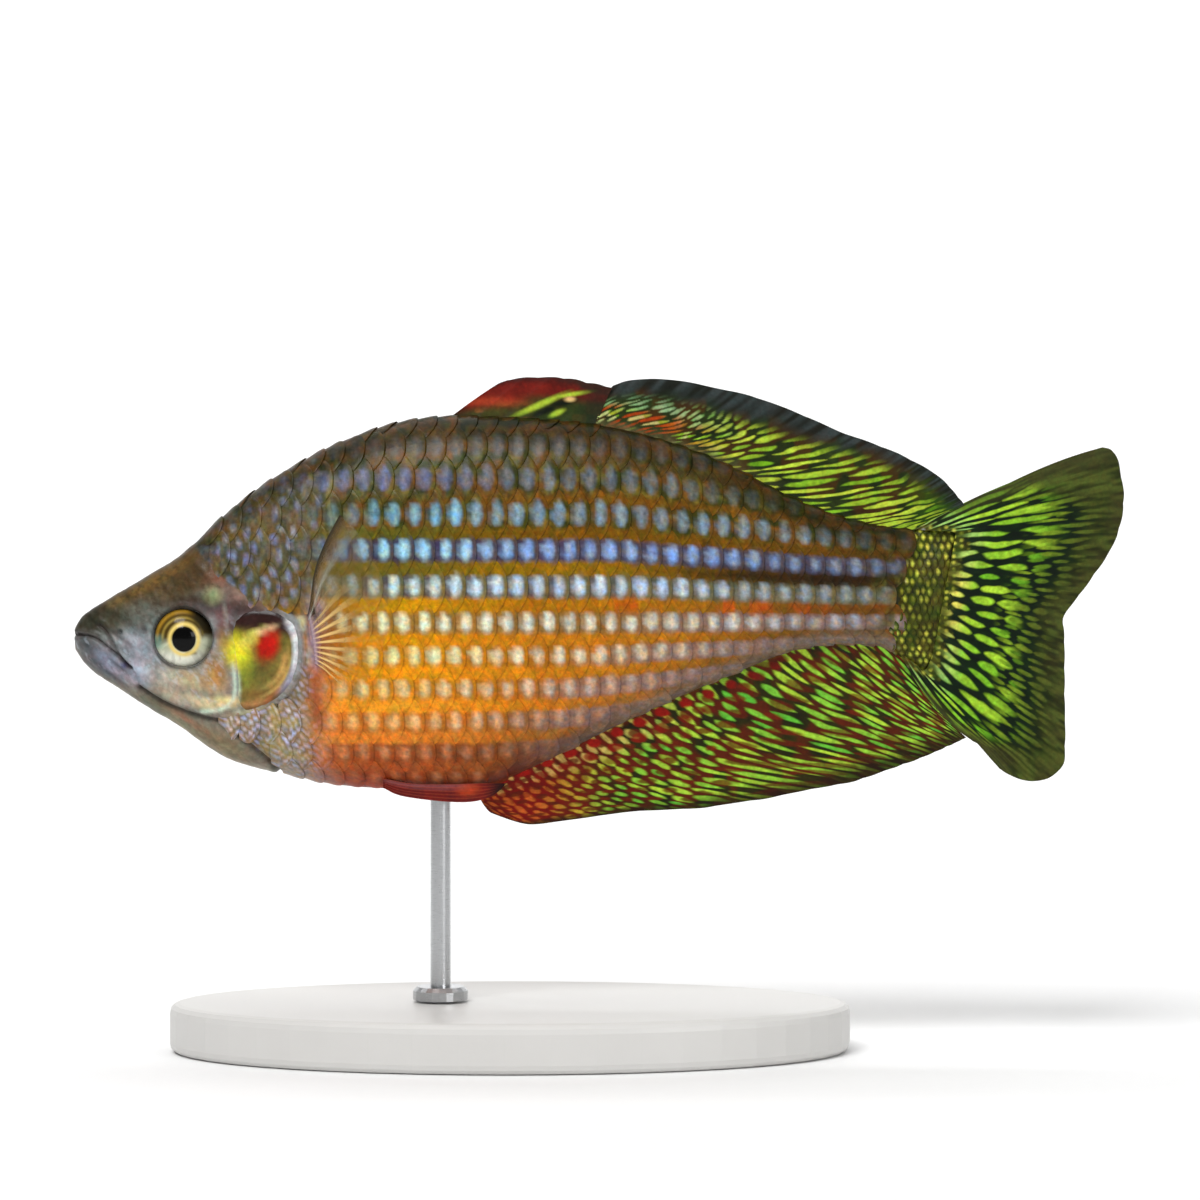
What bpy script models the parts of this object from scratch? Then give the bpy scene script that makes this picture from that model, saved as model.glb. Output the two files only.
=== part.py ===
"""Checkered rainbowfish, a life-size still model over a flat base on one rod.

The fish faces -X with its left side towards -Y, and the base stands on Z = 0.
Shapes are worked out in the fish's own millimetres: x runs back from the snout tip, y to the
right of the midline, and z up from the level of the mouth. place() turns them into the row frame.
"""

import math

import bmesh
import bpy
import numpy as np
from mathutils import Matrix, Vector

MM = 0.001
GAP = 0.3

# Driving sizes of the fish and its stand, in millimetres
MOUTH_HEIGHT = 51.0
BASE_LENGTH = 84.0
BASE_DEPTH = 46.0
BASE_THICKNESS = 6.0
BASE_BEHIND_SNOUT = 54.0
ROD_BEHIND_SNOUT = 45.4
ROD_RADIUS = 1.25
COLLAR_RADIUS = 3.4
COLLAR_HEIGHT = 1.6

EYE_BEHIND_SNOUT = 14.25
EYE_LEVEL = 0.0
EYE_RADIUS = 3.7
EYE_DEPTH = 2.5
EYE_BULGE = 0.8
NOSTRILS = ((6.3, 0.7, 0.32), (9.3, 1.0, 0.45))

FIRST_DORSAL_SPINES = 6
SECOND_DORSAL_RAYS = 12
ANAL_RAYS = 20
CAUDAL_RAYS = 17
PECTORAL_RAYS = 13
PELVIC_RAYS = 6

FIN_THICKNESS = 0.5
FIN_ROOT_THICKNESS = 1.3
RAY_RIDGE = 0.22

BODY_SIDES = 36

# Side outline of the body without its fins, level of its widest line, and half width
BACK = [(0.35, 1.3), (1.0, 2.45), (2.1, 3.35), (5.8, 5.6), (9.5, 7.8), (13.2, 10.1), (15.1, 11.9),
        (16.9, 13.7), (20.6, 16.9), (24.3, 19.6), (28.0, 21.8), (31.8, 23.8), (35.5, 25.3),
        (39.2, 26.5), (42.9, 27.2), (47.0, 27.5), (52.0, 27.4), (58.0, 27.1), (65.1, 26.4),
        (71.3, 25.1), (77.5, 23.0), (83.7, 20.2), (89.8, 17.1), (96.0, 14.8), (102.2, 13.7),
        (107.0, 13.5), (112.0, 13.5)]
BELLY = [(0.35, -1.6), (1.0, -2.6), (2.1, -3.9), (5.8, -6.4), (9.5, -8.8), (13.2, -11.0),
         (16.9, -13.7), (19.4, -15.1), (24.3, -16.6), (28.0, -17.5), (31.8, -18.3), (35.5, -18.7),
         (39.2, -18.9), (44.1, -19.3), (48.4, -19.5), (50.5, -19.2), (52.8, -18.1), (54.8, -17.2),
         (58.9, -15.3), (65.1, -12.2), (71.3, -9.2), (77.5, -6.5), (83.7, -3.9), (88.6, -2.0),
         (94.8, -1.1), (99.7, -1.4), (102.3, -2.7), (104.8, -4.3), (108.0, -5.4), (112.0, -5.8)]
WIDEST = [(0.35, -0.1), (6.0, -0.8), (13.0, -1.8), (20.0, -1.6), (28.0, -0.6), (45.0, 1.6),
          (65.0, 4.2), (85.0, 6.2), (100.0, 6.4), (112.0, 4.2)]
HALF_WIDTH = [(0.35, 1.0), (1.0, 1.9), (2.1, 2.6), (5.8, 3.75), (9.5, 4.7), (13.5, 5.6),
              (20.0, 6.8), (27.0, 7.8), (35.0, 8.3), (45.0, 8.2), (55.0, 7.5), (65.0, 6.4),
              (75.0, 5.2), (85.0, 4.0), (95.0, 3.0), (102.0, 2.3), (107.0, 1.6), (112.0, 1.3)]
ROUNDNESS = [(0.35, 2.5), (10.0, 2.35), (20.0, 2.2), (35.0, 2.05), (60.0, 1.9), (95.0, 1.95),
             (112.0, 2.1)]

# Where the body is parted, as lines in side view
NAPE_AND_GILL = [(13.8, 14.6), (14.9, 11.9), (17.0, 9.3), (19.1, 7.4), (22.0, 5.25), (25.3, 3.9),
                 (27.6, 3.0), (28.6, 1.9), (29.1, -0.2), (29.1, -2.4), (28.75, -4.2),
                 (27.9, -6.1), (26.7, -7.5), (25.0, -8.6), (22.9, -9.35), (20.8, -9.85),
                 (18.65, -10.15)]
THROAT_TOP = [(8.68, -6.2), (10.0, -7.0), (11.5, -7.95), (13.25, -8.7), (15.0, -9.3),
              (16.9, -9.85), (18.65, -10.15)]
THROAT_BACK = [(18.65, -10.15), (20.1, -11.5), (21.5, -12.7), (23.0, -14.1), (24.2, -15.2),
               (25.6, -17.0), (26.6, -18.8)]
GAPE = [(-1.0, 0.4), (0.3, 0.38), (1.75, 0.27), (3.2, -0.05), (4.85, -1.25), (6.35, -2.45),
        (7.7, -3.7)]
JAW_BACK = [(7.7, -3.7), (8.35, -5.0), (8.68, -6.2), (8.6, -8.0), (8.5, -10.5)]
STALK_FRONT = [(95.2, 18.0), (94.2, 10.0), (94.0, 5.0), (94.4, -1.0), (94.8, -4.0)]
TAIL_BASE = [(109.6, 18.0), (109.0, 12.6), (108.2, 8.0), (107.2, 3.4), (105.9, -1.0),
             (104.6, -5.2), (103.4, -9.0)]
GILL_COVER = [(20.4, 2.6), (22.6, 3.35), (25.1, 3.3), (27.2, 2.4), (28.15, 1.5), (28.6, -0.2),
              (28.6, -2.35), (28.25, -4.0), (27.45, -5.75), (26.3, -7.1), (24.8, -8.1),
              (22.9, -8.8), (21.4, -8.6), (20.9, -7.5), (20.9, -5.7), (20.65, -3.3),
              (20.3, -0.8), (20.05, 1.2)]
GILL_BED = [(20.1, 2.9), (21.5, 3.5), (23.2, 3.9), (24.6, 4.8), (27.6, 3.9), (29.3, 2.4),
            (29.8, -0.2), (29.8, -2.5), (29.4, -4.5), (28.5, -6.6), (27.1, -8.2), (25.2, -9.4),
            (23.0, -10.2), (21.4, -10.0), (20.7, -8.9), (20.55, -7.5), (20.55, -5.7),
            (20.3, -3.3), (19.95, -0.8), (19.7, 1.3)]

FISH_SKIN = (0.55, 0.50, 0.36, 1.0)
FIN_GREEN = (0.36, 0.50, 0.10, 1.0)
FIN_RED = (0.48, 0.10, 0.07, 1.0)
GILL_GOLD = (0.62, 0.55, 0.25, 1.0)
EYE_GOLD = (0.75, 0.66, 0.30, 1.0)
CLEAR_FIN = (0.72, 0.66, 0.52, 1.0)
STEEL = (0.62, 0.63, 0.64, 1.0)
BASE_WHITE = (0.82, 0.81, 0.79, 1.0)


def clear_scene():
    for obj in list(bpy.data.objects):
        bpy.data.objects.remove(obj)
    for group in list(bpy.data.collections):
        bpy.data.collections.remove(group)


def curve_through(points):
    """A smooth function through the points that doesn't overshoot between them."""
    x, y = (np.array(v, float) for v in zip(*points))
    step, slope = np.diff(x), np.diff(y) / np.diff(x)
    tangent = np.concatenate([[slope[0]], (slope[:-1] + slope[1:]) / 2, [slope[-1]]])
    for i in range(1, len(x) - 1):
        if slope[i - 1] * slope[i] <= 0:
            tangent[i] = 0.0
        else:
            limit = 3 * min(abs(slope[i - 1]), abs(slope[i]))
            tangent[i] = math.copysign(min(abs(tangent[i]), limit), slope[i])

    def value(at):
        i = int(np.clip(np.searchsorted(x, at) - 1, 0, len(step) - 1))
        t = min(max((at - x[i]) / step[i], 0.0), 1.0)
        rest = 1 - t
        return (y[i] * (1 + 2 * t) * rest**2 + tangent[i] * step[i] * t * rest**2
                + y[i + 1] * t * t * (3 - 2 * t) - tangent[i + 1] * step[i] * t * t * rest)

    return value


back_at = curve_through(BACK)
belly_at = curve_through(BELLY)
widest_at = curve_through(WIDEST)
half_width_at = curve_through(HALF_WIDTH)
roundness_at = curve_through(ROUNDNESS)


def place(x, y, z):
    """A point of the fish, in millimetres, as a point of the row frame, in metres."""
    return Vector((x - BASE_BEHIND_SNOUT, y, z + MOUTH_HEIGHT)) * MM


def flank(x, z):
    """Half width of the body at one place of its side."""
    level = widest_at(x)
    reach = back_at(x) - level if z > level else level - belly_at(x)
    share = min(abs(z - level) / reach, 1.0)
    power = roundness_at(x)
    return half_width_at(x) * (1 - share**power) ** (1 / power)


def material(name, colour, roughness, metallic=0.0):
    made = bpy.data.materials.new(name)
    made.use_nodes = True
    shader = made.node_tree.nodes["Principled BSDF"]
    shader.inputs["Base Color"].default_value = colour
    shader.inputs["Roughness"].default_value = roughness
    shader.inputs["Metallic"].default_value = metallic
    return made


def collection(name, hidden=False):
    made = bpy.data.collections.new(name)
    bpy.context.scene.collection.children.link(made)
    made.hide_render = hidden
    return made


def add_object(name, mesh, group, finish=None):
    obj = bpy.data.objects.new(name, mesh)
    group.objects.link(obj)
    if finish:
        mesh.materials.clear()
        mesh.materials.append(finish)
    return obj


def mesh_from(name, points, faces):
    """A mesh from computed points and faces, with its faces turned to point out."""
    mesh = bpy.data.meshes.new(name)
    mesh.from_pydata([tuple(p) for p in points], [], faces)
    work = bmesh.new()
    work.from_mesh(mesh)
    bmesh.ops.recalc_face_normals(work, faces=work.faces)
    work.to_mesh(mesh)
    work.free()
    return mesh


def mesh_of(obj):
    """The object's evaluated mesh in world space, with seams between a curve's caps and sides closed."""
    graph = bpy.context.evaluated_depsgraph_get()
    mesh = bpy.data.meshes.new_from_object(obj.evaluated_get(graph))
    mesh.transform(obj.matrix_world)
    work = bmesh.new()
    work.from_mesh(mesh)
    bmesh.ops.remove_doubles(work, verts=work.verts, dist=0.000001)
    work.to_mesh(mesh)
    work.free()
    return mesh


def as_mesh_object(obj, name, group):
    mesh = mesh_of(obj)
    bpy.data.objects.remove(obj)
    return add_object(name, mesh, group)


def combine(obj, other, operation, solver="EXACT"):
    """Applies one Boolean of obj with other, which may be an object or a collection."""
    step = obj.modifiers.new("combine", "BOOLEAN")
    step.operation = operation
    step.solver = solver
    if isinstance(other, bpy.types.Collection):
        step.operand_type = "COLLECTION"
        step.collection = other
    else:
        step.object = other
    graph = bpy.context.evaluated_depsgraph_get()
    made = bpy.data.meshes.new_from_object(obj.evaluated_get(graph))
    obj.modifiers.clear()
    obj.data = made


def join_pieces(obj, pieces, cutters):
    """Fuses closed pieces into obj by one union, and removes them."""
    bundle = collection(obj.name + "_pieces", hidden=True)
    for piece in pieces:
        cutters.objects.unlink(piece)
        bundle.objects.link(piece)
    combine(obj, bundle, "UNION")
    for piece in pieces:
        bpy.data.objects.remove(piece)
    bpy.data.collections.remove(bundle)


def islands(mesh):
    """The mesh's separate closed surfaces as meshes, the largest first."""
    work = bmesh.new()
    work.from_mesh(mesh)
    left, groups = set(work.verts), []
    while left:
        group, edge = set(), [left.pop()]
        while edge:
            vert = edge.pop()
            group.add(vert)
            for link in vert.link_edges:
                other = link.other_vert(vert)
                if other in left:
                    left.remove(other)
                    edge.append(other)
        groups.append(group)
    made = []
    for group in groups:
        order = {vert: i for i, vert in enumerate(group)}
        faces = [[order[v] for v in f.verts] for f in work.faces if f.verts[0] in order]
        made.append(mesh_from("island", [v.co for v in group], faces))
    work.free()
    return sorted(made, key=lambda m: -len(m.vertices))


def keep_largest(obj):
    finish = obj.data.materials[0] if obj.data.materials else None
    obj.data = islands(obj.data)[0]
    if finish:
        obj.data.materials.append(finish)


def stations():
    """Places along the body where it has a ring, closer together on the head."""
    return np.concatenate([[0.35, 0.65, 1.0, 1.5], np.arange(2.1, 30.0, 1.15),
                           np.arange(31.0, 96.0, 3.3), np.arange(98.0, 112.1, 2.0)])


def body_loft(name, group, grown=0.0):
    """The whole body without its fins as one closed loft, grown outwards by a distance."""
    points, faces = [], []
    along = stations()
    for x in along:
        level, power = widest_at(x), roundness_at(x)
        for k in range(BODY_SIDES):
            turn = 2 * math.pi * (k + 0.5) / BODY_SIDES
            c, s = math.cos(turn), math.sin(turn)
            reach = back_at(x) - level if s > 0 else level - belly_at(x)
            y = (half_width_at(x) + grown) * math.copysign(abs(c) ** (2 / power), c)
            z = level + (reach + grown) * math.copysign(abs(s) ** (2 / power), s)
            points.append(place(x, y, z))
    sides = BODY_SIDES
    for i in range(len(along) - 1):
        for k in range(sides):
            after = (k + 1) % sides
            faces.append((i * sides + k, i * sides + after,
                          (i + 1) * sides + after, (i + 1) * sides + k))
    faces.append(tuple(range(sides)))
    faces.append(tuple((len(along) - 1) * sides + k for k in range(sides)))
    return add_object(name, mesh_from(name, points, faces), group)


def smooth_line(points, between=3):
    """Points of a side-view line with a few more between each two."""
    line = np.array(points, float)
    ends = np.vstack([2 * line[0] - line[1], line, 2 * line[-1] - line[-2]])
    made = []
    for i in range(len(line) - 1):
        a, b, c, d = ends[i:i + 4]
        for k in range(between):
            t = k / between
            made.append(0.5 * (2 * b + (c - a) * t + (2 * a - 5 * b + 4 * c - d) * t**2
                               + (3 * b - a - 3 * c + d) * t**3))
    made.append(line[-1])
    return made


def blade(name, line, group, half_depth=14.0):
    """A thin sheet along a side-view line, as thick as the gap between two touching nodes."""
    points = smooth_line(line)
    mesh = bpy.data.meshes.new(name)
    verts = [place(x, side * half_depth, z) for x, z in points for side in (-1, 1)]
    mesh.from_pydata(verts, [], [(2 * i, 2 * i + 2, 2 * i + 3, 2 * i + 1)
                                 for i in range(len(points) - 1)])
    sheet = add_object(name, mesh, group)
    thick = sheet.modifiers.new("thickness", "SOLIDIFY")
    thick.thickness = GAP * MM
    thick.offset = 0.0
    return as_mesh_object(sheet, name, group)


def prism(name, outline, group, half_depth=14.0):
    """A side-view outline extruded across the body."""
    line = smooth_line(list(outline) + [outline[0]], 2)[:-1]
    curve = bpy.data.curves.new(name, "CURVE")
    curve.dimensions = "2D"
    curve.fill_mode = "BOTH"
    curve.extrude = half_depth * MM
    spline = curve.splines.new("POLY")
    spline.points.add(len(line) - 1)
    for point, (x, z) in zip(spline.points, line):
        point.co = (x * MM, z * MM, 0.0, 1.0)
    spline.use_cyclic_u = True
    obj = add_object(name, curve, group)
    obj.matrix_world = (Matrix.Translation(place(0.0, 0.0, 0.0))
                        @ Matrix.Rotation(math.radians(90.0), 4, "X"))
    bpy.context.view_layer.update()
    return as_mesh_object(obj, name, group)


def part_body(body, finish, fish, cutters):
    """Cuts the body into head, lower jaw, throat, trunk and tail stalk along thin lines."""
    lines = {"gill_opening": NAPE_AND_GILL + THROAT_BACK[1:], "mouth": GAPE + JAW_BACK[1:],
             "throat_top": THROAT_TOP, "stalk_front": STALK_FRONT, "tail_base": TAIL_BASE}
    for name, line in lines.items():
        cutter = blade(name, line, cutters)
        combine(body, cutter, "DIFFERENCE")
        bpy.data.objects.remove(cutter)
    centres = {"head": (14.0, -1.0), "lower_jaw": (4.0, -4.0), "throat": (15.5, -12.0),
               "trunk": (55.0, 4.0), "tail_stalk": (101.0, 6.0)}
    made = {}
    for piece in islands(body.data)[:len(centres) + 1]:
        corners = np.array([v.co for v in piece.vertices])
        middle = (corners.max(axis=0) + corners.min(axis=0)) / 2
        near = min(centres, key=lambda n: (place(centres[n][0], 0, centres[n][1])
                                           - Vector(middle)).length)
        distance = (place(centres[near][0], 0, centres[near][1]) - Vector(middle)).length
        if near not in made or distance < made[near][0]:
            made[near] = (distance, piece)
    bpy.data.objects.remove(body)
    return {n: add_object(n, piece, fish, finish) for n, (_, piece) in made.items()}


def lip_tube(name, above_gape, start, radius, group):
    """A tube round the mouth from one corner to the other, just above or below the gape."""
    gape = curve_through(GAPE)
    run = [7.0, 6.0, 5.0, 4.0, 3.0, 2.1, 1.4]
    side = [(x, flank(x, gape(x) + above_gape), gape(x) + above_gape) for x in run]
    front = gape(0.0) + above_gape
    middle = [(start + 0.12, 0.62, front), (start, 0.0, front), (start + 0.12, -0.62, front)]
    route = side + middle + [(x, -y, z) for x, y, z in reversed(side)]
    curve = bpy.data.curves.new(name, "CURVE")
    curve.dimensions = "3D"
    curve.bevel_depth = radius * MM
    curve.bevel_resolution = 1
    curve.use_fill_caps = True
    spline = curve.splines.new("POLY")
    spline.points.add(len(route) - 1)
    for i, (point, place_of) in enumerate(zip(spline.points, route)):
        point.co = (*place(*place_of), 1.0)
        point.radius = 0.55 + 0.45 * math.sin(math.pi * i / (len(route) - 1))
    return as_mesh_object(add_object(name, curve, group), name, group)


def ellipsoid(name, centre, half_sizes, group, rings=12, around=20):
    """A closed ball scaled to three half sizes, with its poles along Y."""
    work = bmesh.new()
    turn = Matrix.Rotation(math.radians(90.0), 4, "X")
    size = Matrix.Diagonal((*[s * MM for s in half_sizes], 1.0))
    bmesh.ops.create_uvsphere(work, u_segments=around, v_segments=rings, radius=1.0,
                              matrix=Matrix.Translation(place(*centre)) @ size @ turn)
    mesh = bpy.data.meshes.new(name)
    work.to_mesh(mesh)
    work.free()
    return add_object(name, mesh, group)


def eye_centre(side):
    surface = flank(EYE_BEHIND_SNOUT, EYE_LEVEL)
    return (EYE_BEHIND_SNOUT, side * (surface + EYE_BULGE - EYE_DEPTH), EYE_LEVEL)


def shape_head(head, jaw, cutters):
    """Adds lips and orbit rims, and cuts eye sockets and nostrils."""
    rims = []
    for side in (-1, 1):
        x, _, z = eye_centre(side)
        tilt = math.atan2(half_width_at(x + 3) - half_width_at(x - 3), 6.0)
        bpy.ops.mesh.primitive_torus_add(
            major_radius=(EYE_RADIUS + 0.45) * MM, minor_radius=0.55 * MM,
            major_segments=28, minor_segments=6,
            location=place(x, side * (flank(x, z) - 0.2), z),
            rotation=(math.radians(90.0), 0.0, side * tilt))
        rim = bpy.context.object
        bpy.context.scene.collection.objects.unlink(rim)
        cutters.objects.link(rim)
        bpy.context.view_layer.update()
        rims.append(as_mesh_object(rim, "orbit_rim", cutters))
    upper_lip = lip_tube("upper_lip", 0.6, 0.75, 0.42, cutters)
    join_pieces(head, rims + [upper_lip], cutters)
    join_pieces(jaw, [lip_tube("lower_lip", -0.6, 0.8, 0.4, cutters)], cutters)
    for side in (-1, 1):
        x, y, z = eye_centre(side)
        socket = (EYE_RADIUS + GAP, EYE_DEPTH + GAP, EYE_RADIUS + GAP)
        hollows = [ellipsoid("socket", (x, y, z), socket, cutters)]
        for nostril_x, nostril_z, radius in NOSTRILS:
            centre = (nostril_x, side * flank(nostril_x, nostril_z), nostril_z)
            hollows.append(ellipsoid("nostril", centre, (radius, 0.5, radius), cutters, 6, 8))
        for hollow in hollows:
            combine(head, hollow, "DIFFERENCE")
            bpy.data.objects.remove(hollow)
    keep_largest(head)
    keep_largest(jaw)


def gill_covers(head, finish, fish, cutters):
    """Raised plates on the sides of the head, each in a shallow bed of its own outline."""
    proud, plate, bed = 0.25, 1.0, 1.3
    inner = body_loft("bed_floor", cutters, grown=-bed)
    pocket = prism("pocket", GILL_BED, cutters)
    combine(pocket, inner, "DIFFERENCE")
    combine(head, pocket, "DIFFERENCE")
    keep_largest(head)
    covers = prism("covers", GILL_COVER, cutters)
    outer = body_loft("outer_skin", cutters, grown=proud)
    under = body_loft("plate_floor", cutters, grown=-plate)
    combine(covers, outer, "INTERSECT")
    combine(covers, under, "DIFFERENCE")
    for mesh in islands(covers.data)[:2]:
        left = mesh.vertices[0].co.y < 0
        add_object("gill_cover_left" if left else "gill_cover_right", mesh, fish, finish)
    for obj in (inner, pocket, covers, outer, under):
        bpy.data.objects.remove(obj)


def vane(name, surface, shares, rows, half_thickness, group, finish, root=None):
    """A closed fin: surface(u, v) is its middle, u along the root and v from root to edge.

    Both faces are split into triangles alike. root(u, face) gives the points of the first row
    where they lie on the body instead of square to the fin.
    """
    columns, steps = len(shares), rows + 1
    points = []
    small = 0.01
    for face in (-1, 1):
        for u in shares:
            for j in range(steps):
                v = j / rows
                if j == 0 and root:
                    points.append(place(*root(u, face)))
                    continue
                here = np.array(surface(u, v))
                lower, upper = max(u - small, 0.0), min(u + small, 1.0)
                inner, outer = max(v - small, 0.0), min(v + small, 1.0)
                along = np.array(surface(upper, v)) - np.array(surface(lower, v))
                across = np.array(surface(u, outer)) - np.array(surface(u, inner))
                normal = np.cross(along, across)
                normal /= np.linalg.norm(normal)
                points.append(place(*(here + face * half_thickness(u, v) * normal)))
    faces = []
    count = columns * steps

    def at(i, j, face):
        return i * steps + j + (count if face > 0 else 0)

    for i in range(columns - 1):
        for j in range(rows):
            a, b, c, d = (i, j), (i + 1, j), (i + 1, j + 1), (i, j + 1)
            for corners in ((a, b, c), (a, c, d)):
                faces.append(tuple(at(*corner, 1) for corner in corners))
                faces.append(tuple(at(*corner, -1) for corner in reversed(corners)))
    rim = ([(i, 0) for i in range(columns)] + [(columns - 1, j) for j in range(1, steps)]
           + [(i, rows) for i in range(columns - 2, -1, -1)]
           + [(0, j) for j in range(rows - 1, 0, -1)])
    for here, after in zip(rim, rim[1:] + rim[:1]):
        faces.append((at(*here, -1), at(*after, -1), at(*after, 1)))
        faces.append((at(*here, -1), at(*after, 1), at(*here, 1)))
    mesh = bpy.data.meshes.new(name)
    mesh.from_pydata([tuple(p) for p in points], [], faces)
    return add_object(name, mesh, group, finish)


def ray_shares(rays, offsets=(0.0, 0.5)):
    """Places along the root for each ray's ridge and for the membrane between two rays."""
    shares = [(k + offset) / (rays - 1) for k in range(rays) for offset in offsets]
    return [u for u in shares if u <= 1.0001]


def ridged(rays, root_thickness=FIN_ROOT_THICKNESS, forked=False):
    """Half thickness of a fin: a stout root, ridges along the rays, and a thin edge.

    A forked ray's ridge divides in two past the middle of the fin.
    """
    def half_thickness(u, v):
        from_ray = abs(u * (rays - 1) - round(u * (rays - 1))) * 2
        single = 1 - from_ray
        divided = 1 - abs(from_ray - 0.5) * 2 if forked else single
        fork = min(max((v - 0.35) / 0.3, 0.0), 1.0)
        ridge = RAY_RIDGE * (single + (divided - single) * fork) * (1 - 0.65 * v)
        stout = (root_thickness - FIN_THICKNESS) / 2 * max(1 - v / 0.3, 0.0) ** 1.5
        edge = 0.12 * max((v - 0.85) / 0.15, 0.0)
        return FIN_THICKNESS / 2 + stout + ridge - edge

    return half_thickness


def along_line(points):
    """A function from 0 to 1 along a side-view line, by its length."""
    line = np.array(smooth_line(points))
    length = np.concatenate([[0.0], np.cumsum(np.linalg.norm(np.diff(line, axis=0), axis=1))])

    def at(share):
        where = share * length[-1]
        return (float(np.interp(where, length, line[:, 0])),
                float(np.interp(where, length, line[:, 1])))

    return at


def swept_fin(base, edge, lean, wave, bows):
    """Middle surface of an upright fin. Its rays leave the base at a lean and bow by different
    shares at the front, in the middle and behind, and the fin waves a little to the sides."""
    def surface(u, v):
        x0, z0 = base(u)
        x1, z1 = edge(1 - (1 - u) ** lean)
        ends = bows[0] * (1 - u) ** 4 + bows[2] * u**4
        bow = (ends + bows[1] * (1 - (1 - u) ** 4 - u**4)) * v * (1 - v)
        x = x0 + (x1 - x0) * (v - bow)
        z = z0 + (z1 - z0) * (v + bow)
        return (x, wave * v * v * math.sin(math.pi * (0.3 + 1.5 * u)), z)

    return surface


def unpaired_fins(fish, green, red):
    """The two dorsal fins, the anal fin and the tail fin, all on the midline."""
    first_edge = along_line([(52.6, 31.4), (54.2, 31.95), (56.3, 32.15), (59.6, 32.15),
                             (61.4, 32.0), (63.3, 31.6), (65.0, 31.2), (66.1, 30.95)])
    vane("first_dorsal_fin",
         swept_fin(lambda u: (46.0 + 17.9 * u, back_at(46.0 + 17.9 * u) + GAP),
                   first_edge, 1.25, 0.25, (0.06, 0.1, 0.3)),
         ray_shares(FIRST_DORSAL_SPINES), 6, ridged(FIRST_DORSAL_SPINES), fish, red)

    second_edge = along_line([(66.7, 31.1), (68.4, 31.7), (70.5, 31.95), (72.5, 31.95),
                              (76.2, 31.55), (80.0, 30.7), (83.7, 29.9), (87.4, 28.6),
                              (91.1, 27.1), (94.8, 25.4), (98.5, 24.1), (102.2, 22.6),
                              (105.9, 20.6), (107.8, 19.1), (109.1, 17.6), (109.4, 17.0)])
    vane("second_dorsal_fin",
         swept_fin(lambda u: (64.4 + 38.2 * u, back_at(64.4 + 38.2 * u) + GAP),
                   second_edge, 1.9, 0.45, (0.35, -0.6, -0.15)),
         ray_shares(SECOND_DORSAL_RAYS), 8, ridged(SECOND_DORSAL_RAYS), fish, green)

    anal_edge = along_line([(51.6, -21.7), (54.0, -22.6), (55.9, -23.1), (57.7, -23.1),
                            (61.4, -22.6), (65.1, -22.1), (68.8, -21.6), (74.4, -21.3),
                            (78.1, -21.1), (81.8, -20.5), (85.5, -20.0), (89.2, -19.2),
                            (92.9, -18.5), (96.6, -17.8), (100.3, -16.5), (104.0, -15.2),
                            (107.4, -13.8), (109.2, -12.9)])
    vane("anal_fin",
         swept_fin(lambda u: (49.8 + 51.8 * u, belly_at(49.8 + 51.8 * u) - GAP),
                   anal_edge, 1.85, 0.5, (0.35, 0.3, 0.2)),
         ray_shares(ANAL_RAYS), 8, ridged(ANAL_RAYS), fish, green)

    tail_edge = along_line([(127.3, 23.5), (128.4, 23.2), (129.1, 22.3), (129.6, 20.1),
                            (130.0, 17.0), (129.4, 13.3), (128.1, 10.4), (126.3, 7.7),
                            (124.4, 5.1), (122.9, 3.2), (122.4, 1.9), (122.6, 0.0),
                            (122.6, -7.7), (122.6, -13.9), (122.2, -16.0), (120.7, -17.3),
                            (118.9, -17.8), (117.2, -17.6), (115.6, -17.0), (114.4, -16.2)])
    tail_root = along_line([(103.9, 14.05), (106.5, 13.9), (109.2, 13.95), (109.35, 12.6),
                            (108.55, 8.0), (107.55, 3.4), (106.25, -1.0), (104.95, -5.2),
                            (103.9, -4.7), (102.9, -4.1)])

    def tail(u, v):
        x0, z0 = tail_root(u)
        x1, z1 = tail_edge(u)
        low = 1.6 * math.sin(math.pi * min(v / 0.72, 1.0)) ** 0.8 * u**10 if v < 0.72 else 0.0
        bulge = 1.28 * v * math.sin(math.pi * v) * (1 - u) ** 6 - low
        wave = 0.9 * v * v * math.sin(math.pi * (0.15 + 1.1 * u))
        return (x0 + (x1 - x0) * v, wave, z0 + (z1 - z0) * v + bulge)

    vane("tail_fin", tail, ray_shares(CAUDAL_RAYS, (0.0, 0.25, 0.5, 0.75)), 7,
         ridged(CAUDAL_RAYS, root_thickness=2.2, forked=True), fish, green)


def pectoral_fin(side, fish, finish):
    """A fan held out from the flank behind the gill cover, with its leading ray raised."""
    top_angle, bottom_angle = math.radians(71.0), math.radians(-42.0)
    away = math.radians(35.0)

    def foot(u):
        return 30.15 + 0.8 * u, 2.8 - 5.8 * u

    def surface(u, v):
        x0, z0 = foot(u)
        angle = top_angle + (bottom_angle - top_angle) * u
        reach = (12.6 - 6.6 * u**1.15) * v
        back = 1.1 * math.sin(math.pi * v) * (1 - u)
        cup = math.sin(math.pi * u) * 0.6 * v * v
        y0 = flank(x0, z0) + GAP
        x = x0 + reach * math.cos(angle) - back
        z = z0 + reach * math.sin(angle)
        return (x, side * (y0 + reach * math.tan(away) - cup), z)

    def root(u, face):
        x, z = foot(u)
        x += side * face * 0.6
        return (x, side * (flank(x, z) + GAP), z)

    name = "pectoral_fin_left" if side < 0 else "pectoral_fin_right"
    vane(name, surface, ray_shares(PECTORAL_RAYS), 6,
         ridged(PECTORAL_RAYS, root_thickness=1.0), fish, finish, root)


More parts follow.
